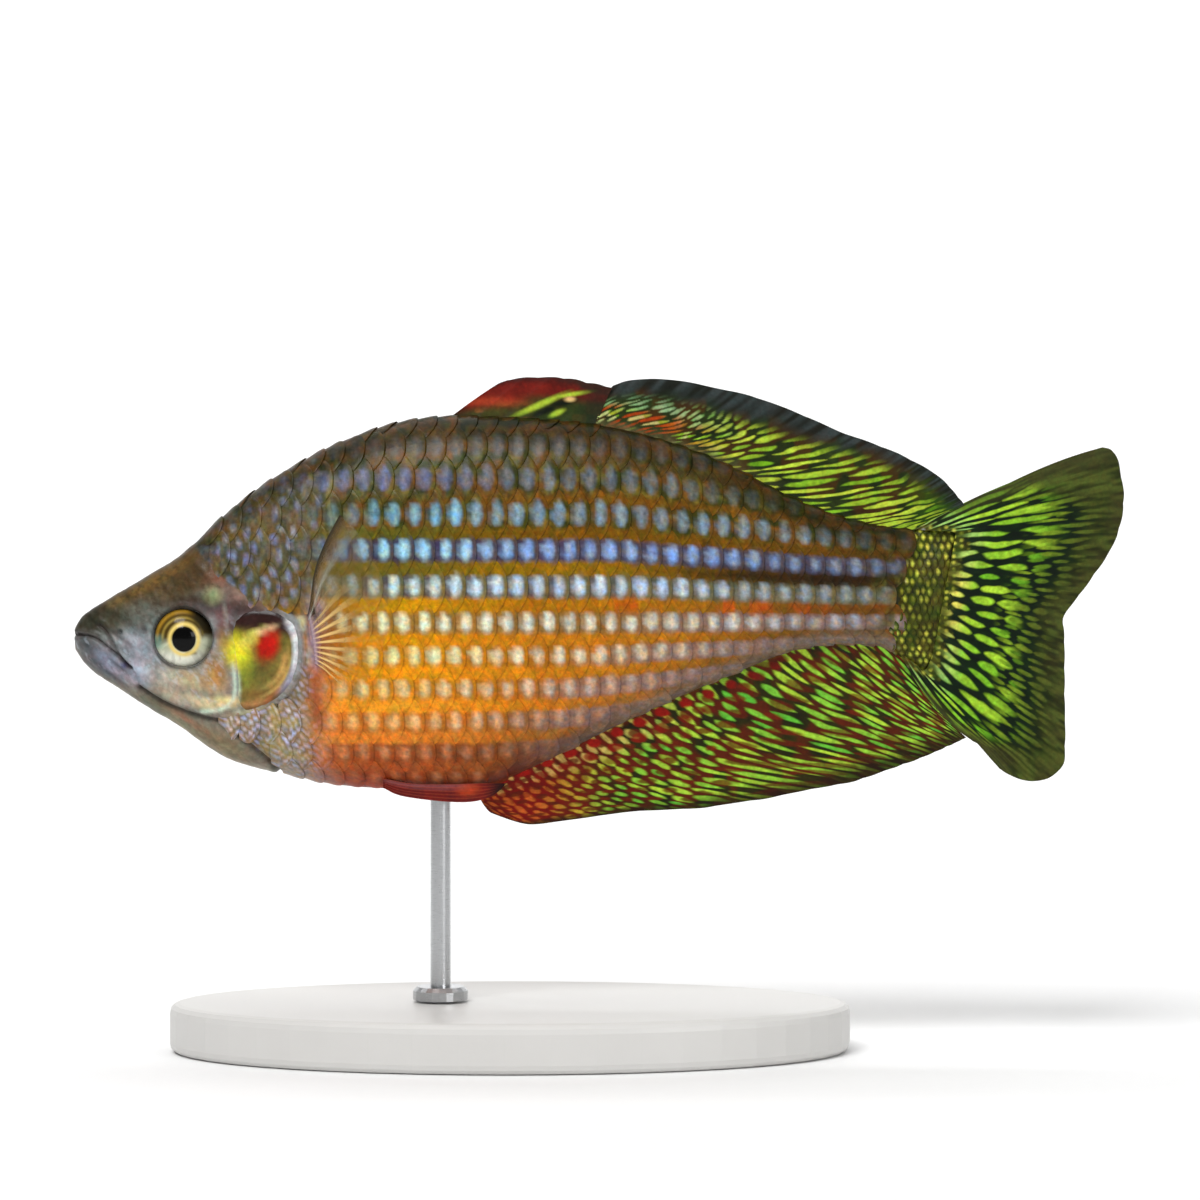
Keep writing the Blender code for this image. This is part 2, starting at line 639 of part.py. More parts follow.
def pelvic_fin(side, fish, finish):
    """A narrow fan folded back along the belly."""
    top = along_line([(38.6, -17.3), (42.0, -17.9), (46.0, -18.0), (50.0, -17.9), (53.6, -17.9)])
    bottom = along_line([(38.6, -18.3), (40.5, -19.3), (44.0, -19.9), (48.5, -20.2),
                         (51.3, -19.7), (53.0, -18.6)])
    out = curve_through([(38.0, 3.5), (42.0, 3.5), (46.0, 3.4), (50.0, 3.1), (54.0, 2.7)])

    def surface(u, v):
        x0, z0 = top(v)
        x1, z1 = bottom(v)
        x, z = x0 + (x1 - x0) * u, z0 + (z1 - z0) * u
        return (x, side * (out(x) - 0.25 * u), z)

    def root(u, face):
        z = -17.3 - u
        return (38.6 + side * face * 0.25, side * (flank(38.6, z) + GAP + 0.02), z)

    name = "pelvic_fin_left" if side < 0 else "pelvic_fin_right"
    vane(name, surface, ray_shares(PELVIC_RAYS), 8,
         ridged(PELVIC_RAYS, root_thickness=0.8), fish, finish, root)


def stand(fish_body, group, white, steel):
    """A flat oval base, and one rod with a collar that ends at the belly."""
    bpy.ops.mesh.primitive_cylinder_add(vertices=48, radius=0.5, depth=1.0,
                                        location=(0.0, 0.0, BASE_THICKNESS * MM / 2))
    base = bpy.context.object
    base.name = base.data.name = "stand_base"
    base.scale = (BASE_LENGTH * MM, BASE_DEPTH * MM, BASE_THICKNESS * MM)
    bpy.ops.object.transform_apply(location=False, rotation=False, scale=True)
    base.data.materials.append(white)
    edge = base.modifiers.new("rounded_edge", "BEVEL")
    edge.width = 1.2 * MM
    edge.segments = 3
    edge.limit_method = "ANGLE"
    edge.angle_limit = math.radians(60.0)
    bpy.context.scene.collection.objects.unlink(base)
    group.objects.link(base)

    foot = BASE_THICKNESS + GAP - MOUTH_HEIGHT
    top = belly_at(ROD_BEHIND_SNOUT) + 1.0
    outline = [(0.0, top), (ROD_RADIUS, top), (ROD_RADIUS, foot + COLLAR_HEIGHT),
               (COLLAR_RADIUS - 0.5, foot + COLLAR_HEIGHT),
               (COLLAR_RADIUS, foot + COLLAR_HEIGHT - 0.5), (COLLAR_RADIUS, foot), (0.0, foot)]
    mesh = bpy.data.meshes.new("stand_rod")
    mesh.from_pydata([(r * MM, 0.0, z * MM) for r, z in outline], [(i, i + 1) for i in range(6)], [])
    rod = add_object("stand_rod", mesh, group)
    rod.location = place(ROD_BEHIND_SNOUT, 0.0, 0.0)
    turned = rod.modifiers.new("turned", "SCREW")
    turned.steps = turned.render_steps = 24
    turned.use_merge_vertices = True
    turned.merge_threshold = 0.00001
    bpy.context.view_layer.update()
    rod = as_mesh_object(rod, "stand_rod", group)
    combine(rod, fish_body, "DIFFERENCE")
    keep_largest(rod)
    rod.data.materials.append(steel)


def shade(obj):
    obj.data.shade_smooth()
    obj.data.set_sharp_from_angle(angle=math.radians(42.0))


def main():
    clear_scene()
    fish = collection("rainbowfish")
    cutters = collection("cutters", hidden=True)
    skin = material("scaled_skin", FISH_SKIN, 0.32, 0.25)
    green = material("green_fin", FIN_GREEN, 0.4)
    red = material("red_fin", FIN_RED, 0.4)
    gold = material("gill_cover", GILL_GOLD, 0.28, 0.3)
    clear = material("clear_fin", CLEAR_FIN, 0.35)
    iris = material("eye", EYE_GOLD, 0.1, 0.2)
    steel = material("rod_steel", STEEL, 0.3, 1.0)
    white = material("base_white", BASE_WHITE, 0.45)

    nodes = part_body(body_loft("body", cutters), skin, fish, cutters)
    shape_head(nodes["head"], nodes["lower_jaw"], cutters)
    gill_covers(nodes["head"], gold, fish, cutters)
    for obj in nodes.values():
        obj.data.materials.clear()
        obj.data.materials.append(skin)
    for side, name in ((-1, "eye_left"), (1, "eye_right")):
        eye = ellipsoid(name, eye_centre(side), (EYE_RADIUS, EYE_DEPTH, EYE_RADIUS), fish)
        eye.data.materials.append(iris)
    unpaired_fins(fish, green, red)
    for side in (-1, 1):
        pectoral_fin(side, fish, clear)
        pelvic_fin(side, fish, red)
    clear_of_rod = body_loft("clear_of_rod", cutters, grown=GAP)
    stand(clear_of_rod, fish, white, steel)
    bpy.data.objects.remove(clear_of_rod)
    for obj in fish.objects:
        shade(obj)


main()
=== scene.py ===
"""Looks of the checkered rainbowfish model: skin, scales, fins, eyes, stand, studio and camera.

Shapes are worked out in the fish's own millimetres: x runs back from the snout tip, y to the
right of the midline, and z up from the level of the mouth. Colours are painted by functions of
place on the body, and each piece keeps them in a colour attribute that its material reads.
"""

import math

import bpy
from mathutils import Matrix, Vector
import numpy as np


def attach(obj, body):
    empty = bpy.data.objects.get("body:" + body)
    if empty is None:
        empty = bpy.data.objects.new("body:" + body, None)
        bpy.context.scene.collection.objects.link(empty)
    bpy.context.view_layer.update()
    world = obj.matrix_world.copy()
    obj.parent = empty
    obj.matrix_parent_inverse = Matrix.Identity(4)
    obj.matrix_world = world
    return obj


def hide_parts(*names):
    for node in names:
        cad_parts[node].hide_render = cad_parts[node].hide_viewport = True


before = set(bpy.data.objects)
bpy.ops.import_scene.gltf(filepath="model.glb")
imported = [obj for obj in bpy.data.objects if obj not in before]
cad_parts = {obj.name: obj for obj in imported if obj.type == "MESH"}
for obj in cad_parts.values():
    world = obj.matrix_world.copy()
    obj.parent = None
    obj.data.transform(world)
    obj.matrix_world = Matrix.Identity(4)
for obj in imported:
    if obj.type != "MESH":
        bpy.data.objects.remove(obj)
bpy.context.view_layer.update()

MM = 0.001
MOUTH_HEIGHT = 51.0
BASE_BEHIND_SNOUT = 54.0

# The body's outline and widths, as in the solids
BACK = [(0.35, 1.3), (1.0, 2.45), (2.1, 3.35), (5.8, 5.6), (9.5, 7.8), (13.2, 10.1), (15.1, 11.9),
        (16.9, 13.7), (20.6, 16.9), (24.3, 19.6), (28.0, 21.8), (31.8, 23.8), (35.5, 25.3),
        (39.2, 26.5), (42.9, 27.2), (47.0, 27.5), (52.0, 27.4), (58.0, 27.1), (65.1, 26.4),
        (71.3, 25.1), (77.5, 23.0), (83.7, 20.2), (89.8, 17.1), (96.0, 14.8), (102.2, 13.7),
        (107.0, 13.5), (112.0, 13.5)]
BELLY = [(0.35, -1.6), (1.0, -2.6), (2.1, -3.9), (5.8, -6.4), (9.5, -8.8), (13.2, -11.0),
         (16.9, -13.7), (19.4, -15.1), (24.3, -16.6), (28.0, -17.5), (31.8, -18.3), (35.5, -18.7),
         (39.2, -18.9), (44.1, -19.3), (48.4, -19.5), (50.5, -19.2), (52.8, -18.1), (54.8, -17.2),
         (58.9, -15.3), (65.1, -12.2), (71.3, -9.2), (77.5, -6.5), (83.7, -3.9), (88.6, -2.0),
         (94.8, -1.1), (99.7, -1.4), (102.3, -2.7), (104.8, -4.3), (108.0, -5.4), (112.0, -5.8)]
WIDEST = [(0.35, -0.1), (6.0, -0.8), (13.0, -1.8), (20.0, -1.6), (28.0, -0.6), (45.0, 1.6),
          (65.0, 4.2), (85.0, 6.2), (100.0, 6.4), (112.0, 4.2)]
HALF_WIDTH = [(0.35, 1.0), (1.0, 1.9), (2.1, 2.6), (5.8, 3.75), (9.5, 4.7), (13.5, 5.6),
              (20.0, 6.8), (27.0, 7.8), (35.0, 8.3), (45.0, 8.2), (55.0, 7.5), (65.0, 6.4),
              (75.0, 5.2), (85.0, 4.0), (95.0, 3.0), (102.0, 2.3), (107.0, 1.6), (112.0, 1.3)]
ROUNDNESS = [(0.35, 2.5), (10.0, 2.35), (20.0, 2.2), (35.0, 2.05), (60.0, 1.9), (95.0, 1.95),
             (112.0, 2.1)]
NAPE = [(13.8, 14.6), (14.9, 11.9), (17.0, 9.3), (19.1, 7.4), (22.0, 5.25), (25.3, 3.9),
        (27.6, 3.0), (28.6, 1.9)]
GILL_SLIT = [(28.6, 1.9), (29.1, -0.2), (29.1, -2.4), (28.75, -4.2), (27.9, -6.1), (26.7, -7.5),
             (25.0, -8.6), (22.9, -9.35), (20.8, -9.85), (18.65, -10.15)]
THROAT_TOP = [(8.68, -6.2), (10.0, -7.0), (11.5, -7.95), (13.25, -8.7), (15.0, -9.3),
              (16.9, -9.85), (18.65, -10.15)]
THROAT_BACK = [(18.65, -10.15), (20.1, -11.5), (21.5, -12.7), (23.0, -14.1), (24.2, -15.2),
               (25.6, -17.0), (26.6, -18.8)]
GAPE = [(-1.0, 0.4), (0.3, 0.38), (1.75, 0.27), (3.2, -0.05), (4.85, -1.25), (6.35, -2.45),
        (7.7, -3.7)]
JAW_BACK = [(7.7, -3.7), (8.35, -5.0), (8.68, -6.2)]
UPPER_JAW_BACK = [(3.7, 1.5), (4.7, 0.6), (5.6, -1.0), (6.6, -2.6), (7.4, -3.6)]
PREOPERCLE = [(20.2, 2.6), (19.9, 1.2), (20.1, -0.8), (20.5, -3.3), (20.75, -5.7), (20.4, -7.6),
              (18.9, -8.7), (16.6, -9.0)]
GILL_COVER = [(20.4, 2.6), (22.6, 3.35), (25.1, 3.3), (27.2, 2.4), (28.15, 1.5), (28.6, -0.2),
              (28.6, -2.35), (28.25, -4.0), (27.45, -5.75), (26.3, -7.1), (24.8, -8.1),
              (22.9, -8.8), (21.4, -8.6), (20.9, -7.5), (20.9, -5.7), (20.65, -3.3),
              (20.3, -0.8), (20.05, 1.2)]
TAIL_BASE = [(-9.0, 104.2), (-5.2, 105.4), (-1.0, 106.5), (3.4, 107.4), (8.0, 108.2),
             (12.6, 109.0), (18.0, 109.6)]

# How far the upright fins' bases lie inside the body, and the places and sizes of the eyes, the
# nostrils and the middle of each gill cover
FIN_SUNK = 0.8
EYE_X, EYE_Z = 14.25, 0.0
EYE_RADIUS, EYE_DEPTH, EYE_BULGE = 3.7, 2.5, 0.8
EYE_WRAP, DOME_RISE = math.radians(111.6), 0.1
NOSTRILS = ((6.3, 0.7, 0.32), (9.3, 1.0, 0.45))
COVER_MIDDLE = np.array([24.4, -2.8])

# The scale lattice: rows are counted down from the back, and row 5 is level along the body
ROW_FIVE = 1.72
ROWS_ABOVE = [(0.0, 4.46), (64.0, 4.46), (80.0, 4.0), (98.0, 3.46), (112.0, 3.3)]
ROWS_BELOW = [(0.0, 4.05), (60.0, 4.02), (80.0, 3.3), (92.0, 2.8), (112.0, 2.7)]
FIRST_COLUMN, COLUMN, LAST_SCALE = 15.0, 2.51, 104.2
SCALE_HEIGHT = 0.74
FINE_COLUMN, FINE_ROW, FINE_HEIGHT = 0.9, 0.33, 0.25

# Where the skin's last part begins and ends, how deep it lies under the scales, the length that
# the UV map covers, and the fish's two sides
STALK, BODY_END = 94.0, 109.6
SKIN_DEPTH = 0.17
UV_LENGTH = 116
SIDES = ((-1, "left"), (1, "right"))


def linear(display):
    """Linear light from a display colour, which is three numbers up to 255."""
    c = np.array(display) / 255
    return np.where(c <= 0.04045, c / 12.92, ((c + 0.055) / 1.055) ** 2.4)


def light_of(colour):
    """A colour as linear light: a tuple is a display colour, and an array is light already."""
    return linear(colour) if isinstance(colour, tuple) else np.asarray(colour)


def mix(first, second, share):
    """Two colours blended, by the second one's share from 0 to 1."""
    share = np.clip(np.asarray(share, float), 0, 1)[..., None]
    return light_of(first) * (1 - share) + light_of(second) * share


def layered(colour, *layers):
    """A colour with others laid over it in turn, each given with its share."""
    for shade, share in layers:
        colour = mix(colour, shade, share)
    return colour


def grained(colour, least, span, grain):
    """A colour made darker and lighter by a grain from 0 to 1."""
    return colour * (least + span * grain)[..., None]


def step(low, high, value):
    """A soft step from 0 at low to 1 at high, which falls where high is the smaller."""
    t = np.clip((np.asarray(value, float) - low) / (high - low), 0, 1)
    return t * t * (3 - 2 * t)


def bell(offset, width):
    """1 where an offset is 0, and softly less on both sides of it."""
    return np.exp(-(offset / width) ** 2)


def curve_through(points):
    """A smooth function through the points that doesn't overshoot between them."""
    x, y = (np.array(v, float) for v in zip(*points))
    gap, slope = np.diff(x), np.diff(y) / np.diff(x)
    tangent = np.concatenate([[slope[0]], (slope[:-1] + slope[1:]) / 2, [slope[-1]]])
    for i in range(1, len(x) - 1):
        if slope[i - 1] * slope[i] <= 0:
            tangent[i] = 0.0
        else:
            limit = 3 * min(abs(slope[i - 1]), abs(slope[i]))
            tangent[i] = math.copysign(min(abs(tangent[i]), limit), slope[i])

    def value(at):
        """The curve's height at one place or many."""
        at = np.clip(np.asarray(at, float), x[0], x[-1])
        i = np.clip(np.searchsorted(x, at) - 1, 0, len(gap) - 1)
        t = (at - x[i]) / gap[i]
        rest = 1 - t
        return (y[i] * (1 + 2 * t) * rest**2 + tangent[i] * gap[i] * t * rest**2
                + y[i + 1] * t * t * (3 - 2 * t) - tangent[i + 1] * gap[i] * t * t * rest)

    return value


back_at = curve_through(BACK)
belly_at = curve_through(BELLY)
widest_at = curve_through(WIDEST)
half_width_at = curve_through(HALF_WIDTH)
roundness_at = curve_through(ROUNDNESS)
above_at = curve_through(ROWS_ABOVE)
below_at = curve_through(ROWS_BELOW)
tail_base_at = curve_through(TAIL_BASE)


def flank(x, z):
    """Half width of the body at one place of its side."""
    level = widest_at(x)
    reach = np.where(z > level, back_at(x) - level, level - belly_at(x))
    share = np.clip(np.abs(z - level) / reach, 0, 1)
    power = roundness_at(x)
    return half_width_at(x) * (1 - share**power) ** (1 / power)


def smooth_line(points, between=4):
    """Points along a smooth curve through the given ones, so many for each of its stretches."""
    line = np.array(points, float)
    ends = np.vstack([2 * line[0] - line[1], line, 2 * line[-1] - line[-2]])
    t = np.arange(between)[:, None] / between
    made = [0.5 * (2 * b + (c - a) * t + (2 * a - 5 * b + 4 * c - d) * t**2
                   + (3 * b - a - 3 * c + d) * t**3)
            for a, b, c, d in zip(ends, ends[1:], ends[2:], ends[3:])]
    return np.concatenate(made + [line[-1:]])


def distance_to(line, x, z):
    """Signed distance from places in side view to a line, negative on its right hand."""
    points = smooth_line(line)
    best = np.full(np.shape(x), 1e9)
    side = np.zeros(np.shape(x))
    for (ax, az), (bx, bz) in zip(points[:-1], points[1:]):
        dx, dz = bx - ax, bz - az
        t = np.clip(((x - ax) * dx + (z - az) * dz) / (dx * dx + dz * dz), 0, 1)
        away = np.hypot(x - ax - t * dx, z - az - t * dz)
        turn = dx * (z - az) - dz * (x - ax)
        closer = away < best
        best = np.where(closer, away, best)
        side = np.where(closer, np.sign(turn), side)
    return best * np.where(side == 0, 1, side)


# Tables of the body's surface, by x and by share of the way round one side from belly to back
TABLE_X0, TABLE_DX, TABLE_N = 0.35, 0.4, 280
SHARES = 161


def section_tables():
    """Places and normals of the body's surface, its girth, and where row five lies on it."""
    places = np.zeros((TABLE_N, SHARES, 3))
    girth, reference = np.zeros(TABLE_N), np.zeros(TABLE_N)
    turn = np.linspace(-math.pi / 2, math.pi / 2, 721)
    c, s = np.cos(turn), np.sin(turn)
    for i in range(TABLE_N):
        x = TABLE_X0 + TABLE_DX * i
        level, power = widest_at(x), roundness_at(x)
        reach = np.where(s > 0, back_at(x) - level, level - belly_at(x))
        y = half_width_at(x) * np.abs(c) ** (2 / power)
        z = level + reach * np.sign(s) * np.abs(s) ** (2 / power)
        arc = np.concatenate([[0], np.cumsum(np.hypot(np.diff(y), np.diff(z)))])
        share = np.linspace(0, arc[-1], SHARES)
        places[i, :, 0] = x
        places[i, :, 1] = np.interp(share, arc, y)
        places[i, :, 2] = np.interp(share, arc, z)
        girth[i] = arc[-1]
        reference[i] = np.interp(ROW_FIVE, z, arc)
    normals = np.cross(np.gradient(places, axis=0), np.gradient(places, axis=1))
    normals /= np.linalg.norm(normals, axis=2, keepdims=True) + 1e-12
    middle = normals[TABLE_N // 2, SHARES // 2, 1]
    return places, normals * np.sign(middle), girth, reference


PLACES, NORMALS, GIRTH, REFERENCE = section_tables()


def look_up(table, x, share):
    """A table's value between its entries, at places along the body and round its side."""
    u = np.clip((np.asarray(x, float) - TABLE_X0) / TABLE_DX, 0, TABLE_N - 1.001)
    v = np.clip(np.asarray(share, float) * (SHARES - 1), 0, SHARES - 1.001)
    i, j = u.astype(int), v.astype(int)
    u, v = (u - i)[..., None], (v - j)[..., None]
    return ((table[i, j] * (1 - u) + table[i + 1, j] * u) * (1 - v)
            + (table[i, j + 1] * (1 - u) + table[i + 1, j + 1] * u) * v)


def along_table(table, x):
    """The value of a table by x alone, between its entries."""
    return np.interp(x, TABLE_X0 + TABLE_DX * np.arange(TABLE_N), table)


def tail_taper(x, z):
    """The stalk thins to the tail fin's root over its last millimetres."""
    return 1 - 0.62 * step(-4.5, 0.0, x - tail_base_at(z))


def on_body(x, share, height):
    """Points on one side of the body, raised by a height. A share past 0 or 1 wraps over."""
    over = (share > 1) | (share < 0)
    folded = np.where(share > 1, 2 - share, np.where(share < 0, -share, share))
    point, normal = look_up(PLACES, x, folded), look_up(NORMALS, x, folded)
    made = point + normal * np.asarray(height)[..., None]
    made[..., 1] *= tail_taper(made[..., 0], made[..., 2])
    made[..., 1] = np.where(over, -made[..., 1], made[..., 1])
    return made


def row_of(x, share):
    """The lattice's row number, which may lie between two rows, at a place on the body."""
    up = share * along_table(GIRTH, x) - along_table(REFERENCE, x)
    return 5 - np.where(up > 0, up / above_at(x), up / below_at(x))


def share_of(x, row):
    """The share of the way round one side where a row lies."""
    up = np.where(row < 5, (5 - row) * above_at(x), (5 - row) * below_at(x))
    return (up + along_table(REFERENCE, x)) / along_table(GIRTH, x)


def noise(x, z, size, seed=0):
    """Soft noise from 0 to 1 in side view, from a seeded lattice of values."""
    values = np.random.default_rng(seed).random((257, 257))
    u, v = np.asarray(x, float) / size + 40, np.asarray(z, float) / size + 40
    i, j = np.floor(u).astype(int), np.floor(v).astype(int)
    u, v = u - i, v - j
    u, v = u * u * (3 - 2 * u), v * v * (3 - 2 * v)
    i, j, k, m = i % 257, j % 257, (i + 1) % 257, (j + 1) % 257
    return ((values[i, j] * (1 - u) + values[k, j] * u) * (1 - v)
            + (values[i, m] * (1 - u) + values[k, m] * u) * v)


def soft_noise(x, z, size, seed=0):
    """Noise of three sizes together, from 0 to 1."""
    return (0.5 * noise(x, z, size, seed) + 0.3 * noise(x, z, size * 0.47, seed + 1000)
            + 0.2 * noise(x, z, size * 0.21, seed + 2000))


# Colours of the light patches and of the bands between their rows, from the back down:
# in front, in the middle and behind
PATCHES = [
    ((108, 98, 98), (118, 114, 122), (98, 98, 90)),
    ((112, 118, 170), (116, 120, 134), (100, 106, 92)),
    ((140, 202, 238), (134, 154, 174), (130, 140, 148)),
    ((170, 220, 244), (146, 172, 226), (126, 138, 168)),
    ((202, 220, 222), (196, 208, 230), (140, 146, 150)),
    ((255, 246, 200), (228, 218, 200), (172, 164, 168)),
    ((255, 240, 170), (232, 206, 174), (158, 132, 134)),
    ((255, 214, 142), (228, 186, 158), (160, 126, 122)),
    ((255, 190, 118), (214, 160, 132), (150, 114, 100)),
    ((214, 134, 86), (168, 114, 88), (128, 102, 64)),
]
STRIPES = [
    ((80, 66, 32), (82, 62, 30), (78, 60, 32)),
    ((84, 72, 32), (124, 78, 14), (104, 70, 20)),
    ((96, 88, 28), (118, 80, 4), (96, 64, 16)),
    ((106, 92, 30), (146, 104, 0), (50, 36, 18)),
    ((196, 140, 2), (172, 108, 0), (108, 66, 12)),
    ((222, 144, 2), (190, 116, 0), (112, 72, 20)),
    ((238, 152, 6), (204, 124, 0), (122, 82, 32)),
    ((246, 156, 34), (212, 122, 14), (138, 94, 48)),
    ((228, 130, 42), (180, 104, 28), (128, 94, 52)),
    ((176, 84, 40), (140, 76, 30), (120, 88, 50)),
]


def by_row(table, row, x, sooner=0.0):
    """A row's colour in front, in the middle and behind, where it may turn some sooner."""
    values = np.array([[linear(display) for display in line] for line in table])
    pick = np.clip(np.asarray(row).astype(int), 0, len(table) - 1)
    colour = mix(values[pick, 0], values[pick, 1], step(38, 60, x))
    return mix(colour, values[pick, 2], step(68, 96, x + sooner))


def lattice_place(x, row):
    """Offset from the nearest scale's centre, in columns back and in rows down, and its row."""
    near = np.round(row)
    column = (x - FIRST_COLUMN) / COLUMN - 0.5 * (near % 2)
    return column - np.round(column), row - near, near


def bricks(across, up):
    """A pattern of bricks: offsets from the middle of each, and its column and row."""
    row = np.floor(up)
    across = across + 0.5 * (row % 2)
    column = np.floor(across)
    return across - column - 0.5, up - row - 0.5, column, row


def checker_paint(x, row, cell, grain, speck, moss):
    """Colour of the flank's checkers: patches in rows, the cells around them and the bands, with
    painted highlight and shade on the patches.
    """
    across, down, near = cell
    warp, twist = noise(x, row * 4, 0.9, 5) - 0.5, noise(x, row * 4, 0.9, 6) - 0.5
    upper = step(3.2, 1.6, near)
    sooner = 7 * np.clip(row - 5.2, 0, 3)
    half_high = 0.26 + 0.08 * upper + 0.09 * warp
    half_wide = 0.315 + 0.025 * upper + 0.11 * twist
    squared = 2.0 + 1.2 * (1 - upper)
    oval = (np.abs((across + 0.02 + 0.08 * twist) / half_wide) ** squared
            + np.abs((down + 0.02 + 0.06 * warp) / half_high) ** squared) ** (1 / squared)
    # Each patch's brightness: a painted highlight down its middle and painted shade towards its front
    # and back sides, with random grain and specks.
    core_light_and_grain = (0.58 + 0.42 * bell(across + 0.02, 0.17) + 0.6 * (grain - 0.45)
              + (0.2 + 0.3 * upper) * (speck - 0.5))
    patch = by_row(PATCHES, near, x, sooner) * core_light_and_grain[..., None]
    faint = (0.22 + 0.78 * step(33.5, 40.5, x)) * (1 - 0.5 * step(97, 104, x))
    clear = ((1 - 0.2 * upper - 0.25 * step(7.5, 9.5, row)) * (1 - 0.2 * step(92, 104, x))
             * (0.68 + 0.6 * noise(x * 0.6 + near, near * 3.1, 1.3, 9)) * (near >= 0)
             * np.where((near > 1) & (near < 5), faint, 1 - 0.6 * step(96, 103, x))
             * (1 - 0.6 * step(70, 88, x) * step(5.4, 5.6, near)))
    lilac = step(64, 80, x + sooner) * step(4.4, 4.6, near) * step(52, 62, x)
    # Painted shade: a dark violet band down the front side of each patch in rows 3 and 4, as cast by
    # the scale ahead.
    violet = (bell(across + 0.38, 0.12) * (step(2.4, 2.6, near) - step(4.4, 4.6, near))
              * step(33.5, 38, x) * (1 - 0.8 * step(56, 76, x)))
    beside = layered(moss, ((74, 68, 84), step(2.4, 2.6, near)),
                     ((104, 100, 72), step(3.4, 3.6, near)),
                     (by_row(STRIPES, near, x) * 0.72, step(4.4, 5.6, near)),
                     ((136, 110, 108), 0.85 * lilac), ((44, 38, 96), 0.75 * violet))
    band = mix(by_row(STRIPES, np.floor(row), x, sooner), moss,
               step(2.4, 0.8, row) * (1 - 0.6 * step(50, 62, x)))
    in_row = step(half_high + 0.12, half_high, np.abs(down))
    shade = 0.72 + 0.56 * grain + (0.25 + 0.4 * upper) * (speck - 0.5)
    red = bell(x - 76, 16) * bell(row - 4.5, 0.22) * step(0.5, 0.62, noise(x, row * 0.7, 1.5, 3))
    rear_edge = np.abs(across - 0.5 + 0.5 * np.abs(down) ** 1.6)
    net = step(0.15, 0.03, rear_edge) * (0.06 + 0.12 * upper) * (0.3 + 1.4 * speck)
    return layered(mix(band, beside, in_row * 0.9) * shade[..., None],
                   ((200, 72, 4), 0.65 * red),
                   ((44, 30, 18), 0.85 * step(62, 84, x) * bell(row - 3.5, 0.24)),
                   (patch, step(1.2, 0.72, oval) * np.clip(clear, 0, 1)), ((40, 32, 18), net))


def nape_paint(x, up, grain, speck, moss):
    """Colour of the nape and shoulder: small blue-grey flecks on dull olive."""
    lane = (up + 0.35 * x) / 1.7 + 0.5 * (noise(x, up, 1.8, 10) - 0.5)
    across, rise, column, row = bricks(x / 1.75 + 0.4 * (noise(x, up, 1.9, 11) - 0.5), lane)
    fleck = step(0.55, 0.15, np.hypot(across * 1.5, rise)) * noise(column * 5, row * 3, 1.0, 19)
    dull = grained(mix(moss, (96, 86, 68), 0.5), 0.6, 0.9, grain)
    colour = layered(dull, ((122, 120, 154), 1.1 * fleck),
                     ((170, 180, 190), 0.7 * fleck * step(0.45, 0.7, grain)))
    return grained(colour, 0.7, 0.6, speck)


def breast_paint(x, up, grain):
    """Colour of the breast: silvery violet dots on grey-brown, with hints of gold."""
    tier = (up + 0.6 * x) / 0.85 + 0.3 * (noise(x, up, 1.3, 7) - 0.5)
    across, rise, column, row = bricks((x + 0.4 * (noise(x, up, 1.2, 8) - 0.5)) / 1.05, tier)
    dot = step(0.5, 0.22, np.hypot(across, 1.15 * rise))
    dot = dot * (0.35 + 0.9 * noise(column * 3, row * 5, 1.0, 20))
    return layered((132, 118, 94), ((204, 200, 228), dot * (0.5 + 0.9 * grain)),
                   ((178, 160, 84), 0.5 * step(0.6, 0.75, noise(x, up, 1.6, 12))))


def body_paint(x, z, row, cell=None):
    """Colour of the scaled part of the body."""
    up = -4.2 * row
    height = z - belly_at(x)
    grain, speck = soft_noise(x, up, 0.75, 15), noise(x, up, 0.36, 16)
    moss = layered((56, 60, 18), ((108, 72, 26), step(0.35, 0.65, noise(x, up, 1.2, 17))),
                   ((108, 100, 44), 0.7 * step(0.55, 0.75, noise(x, up, 0.8, 18))))
    stalk = (0.1 + 1.1 * step(0.3, 0.7, noise(x, up, 1.4, 21))) * 0.75 * step(95, 103, x)
    back = step(back_at(x) - 6.0, back_at(x) - 0.8, z)
    deep = mix((26, 30, 12), (70, 44, 22), step(0.4, 0.65, noise(x, up, 1.1, 13)))
    shoulder = bell(x - 30.7, 1.2) * step(-13, -9, z) * step(6, 3, z)
    tint = mix((122, 46, 34), (178, 152, 176), step(-5, -2.5, z))
    under = mix((150, 134, 122), mix((150, 58, 40), (104, 34, 26), step(38, 48, x)), step(27, 36, x))
    colour = mix(checker_paint(x, row, cell or lattice_place(x, row), grain, speck, moss),
                 grained(moss, 0.3, 1.2, grain), stalk)
    colour = layered(
        colour * (1 - 0.3 * back)[..., None],
        (grained(deep, 0.4, 1.2, grain), back * 0.7),
        (nape_paint(x, up, grain, speck, moss),
         step(34, 27.5, x) * step(5.0, 4.4, row) * (1 - 0.8 * back) * 0.9),
        (breast_paint(x, up, grain), step(33.5, 28, x) * step(5.2, 6.4, row) * 0.9),
        (grained(tint, 0.6, 0.8, grain), shoulder * 0.85),
        ((226, 124, 60), 0.3 * step(37, 31.5, x) * step(5.0, 6.6, row) * step(29, 31, x)),
        (under, step(3.4, 0.6, height) * 0.8 * step(72, 60, x)),
        (mix((92, 78, 62), (146, 124, 112), grain), 0.8 * step(2.8, 0.6, height) * step(52, 64, x)))
    tinge = (noise(x, up, 0.42, 29) - 0.5)[..., None] * np.array([0.5, 0.1, -0.6])
    dusk = step(2.4, 1.0, row)[..., None] * np.array([0.1, 0.09, 0.19])
    return colour * (1 + tinge) * (1 - dusk)


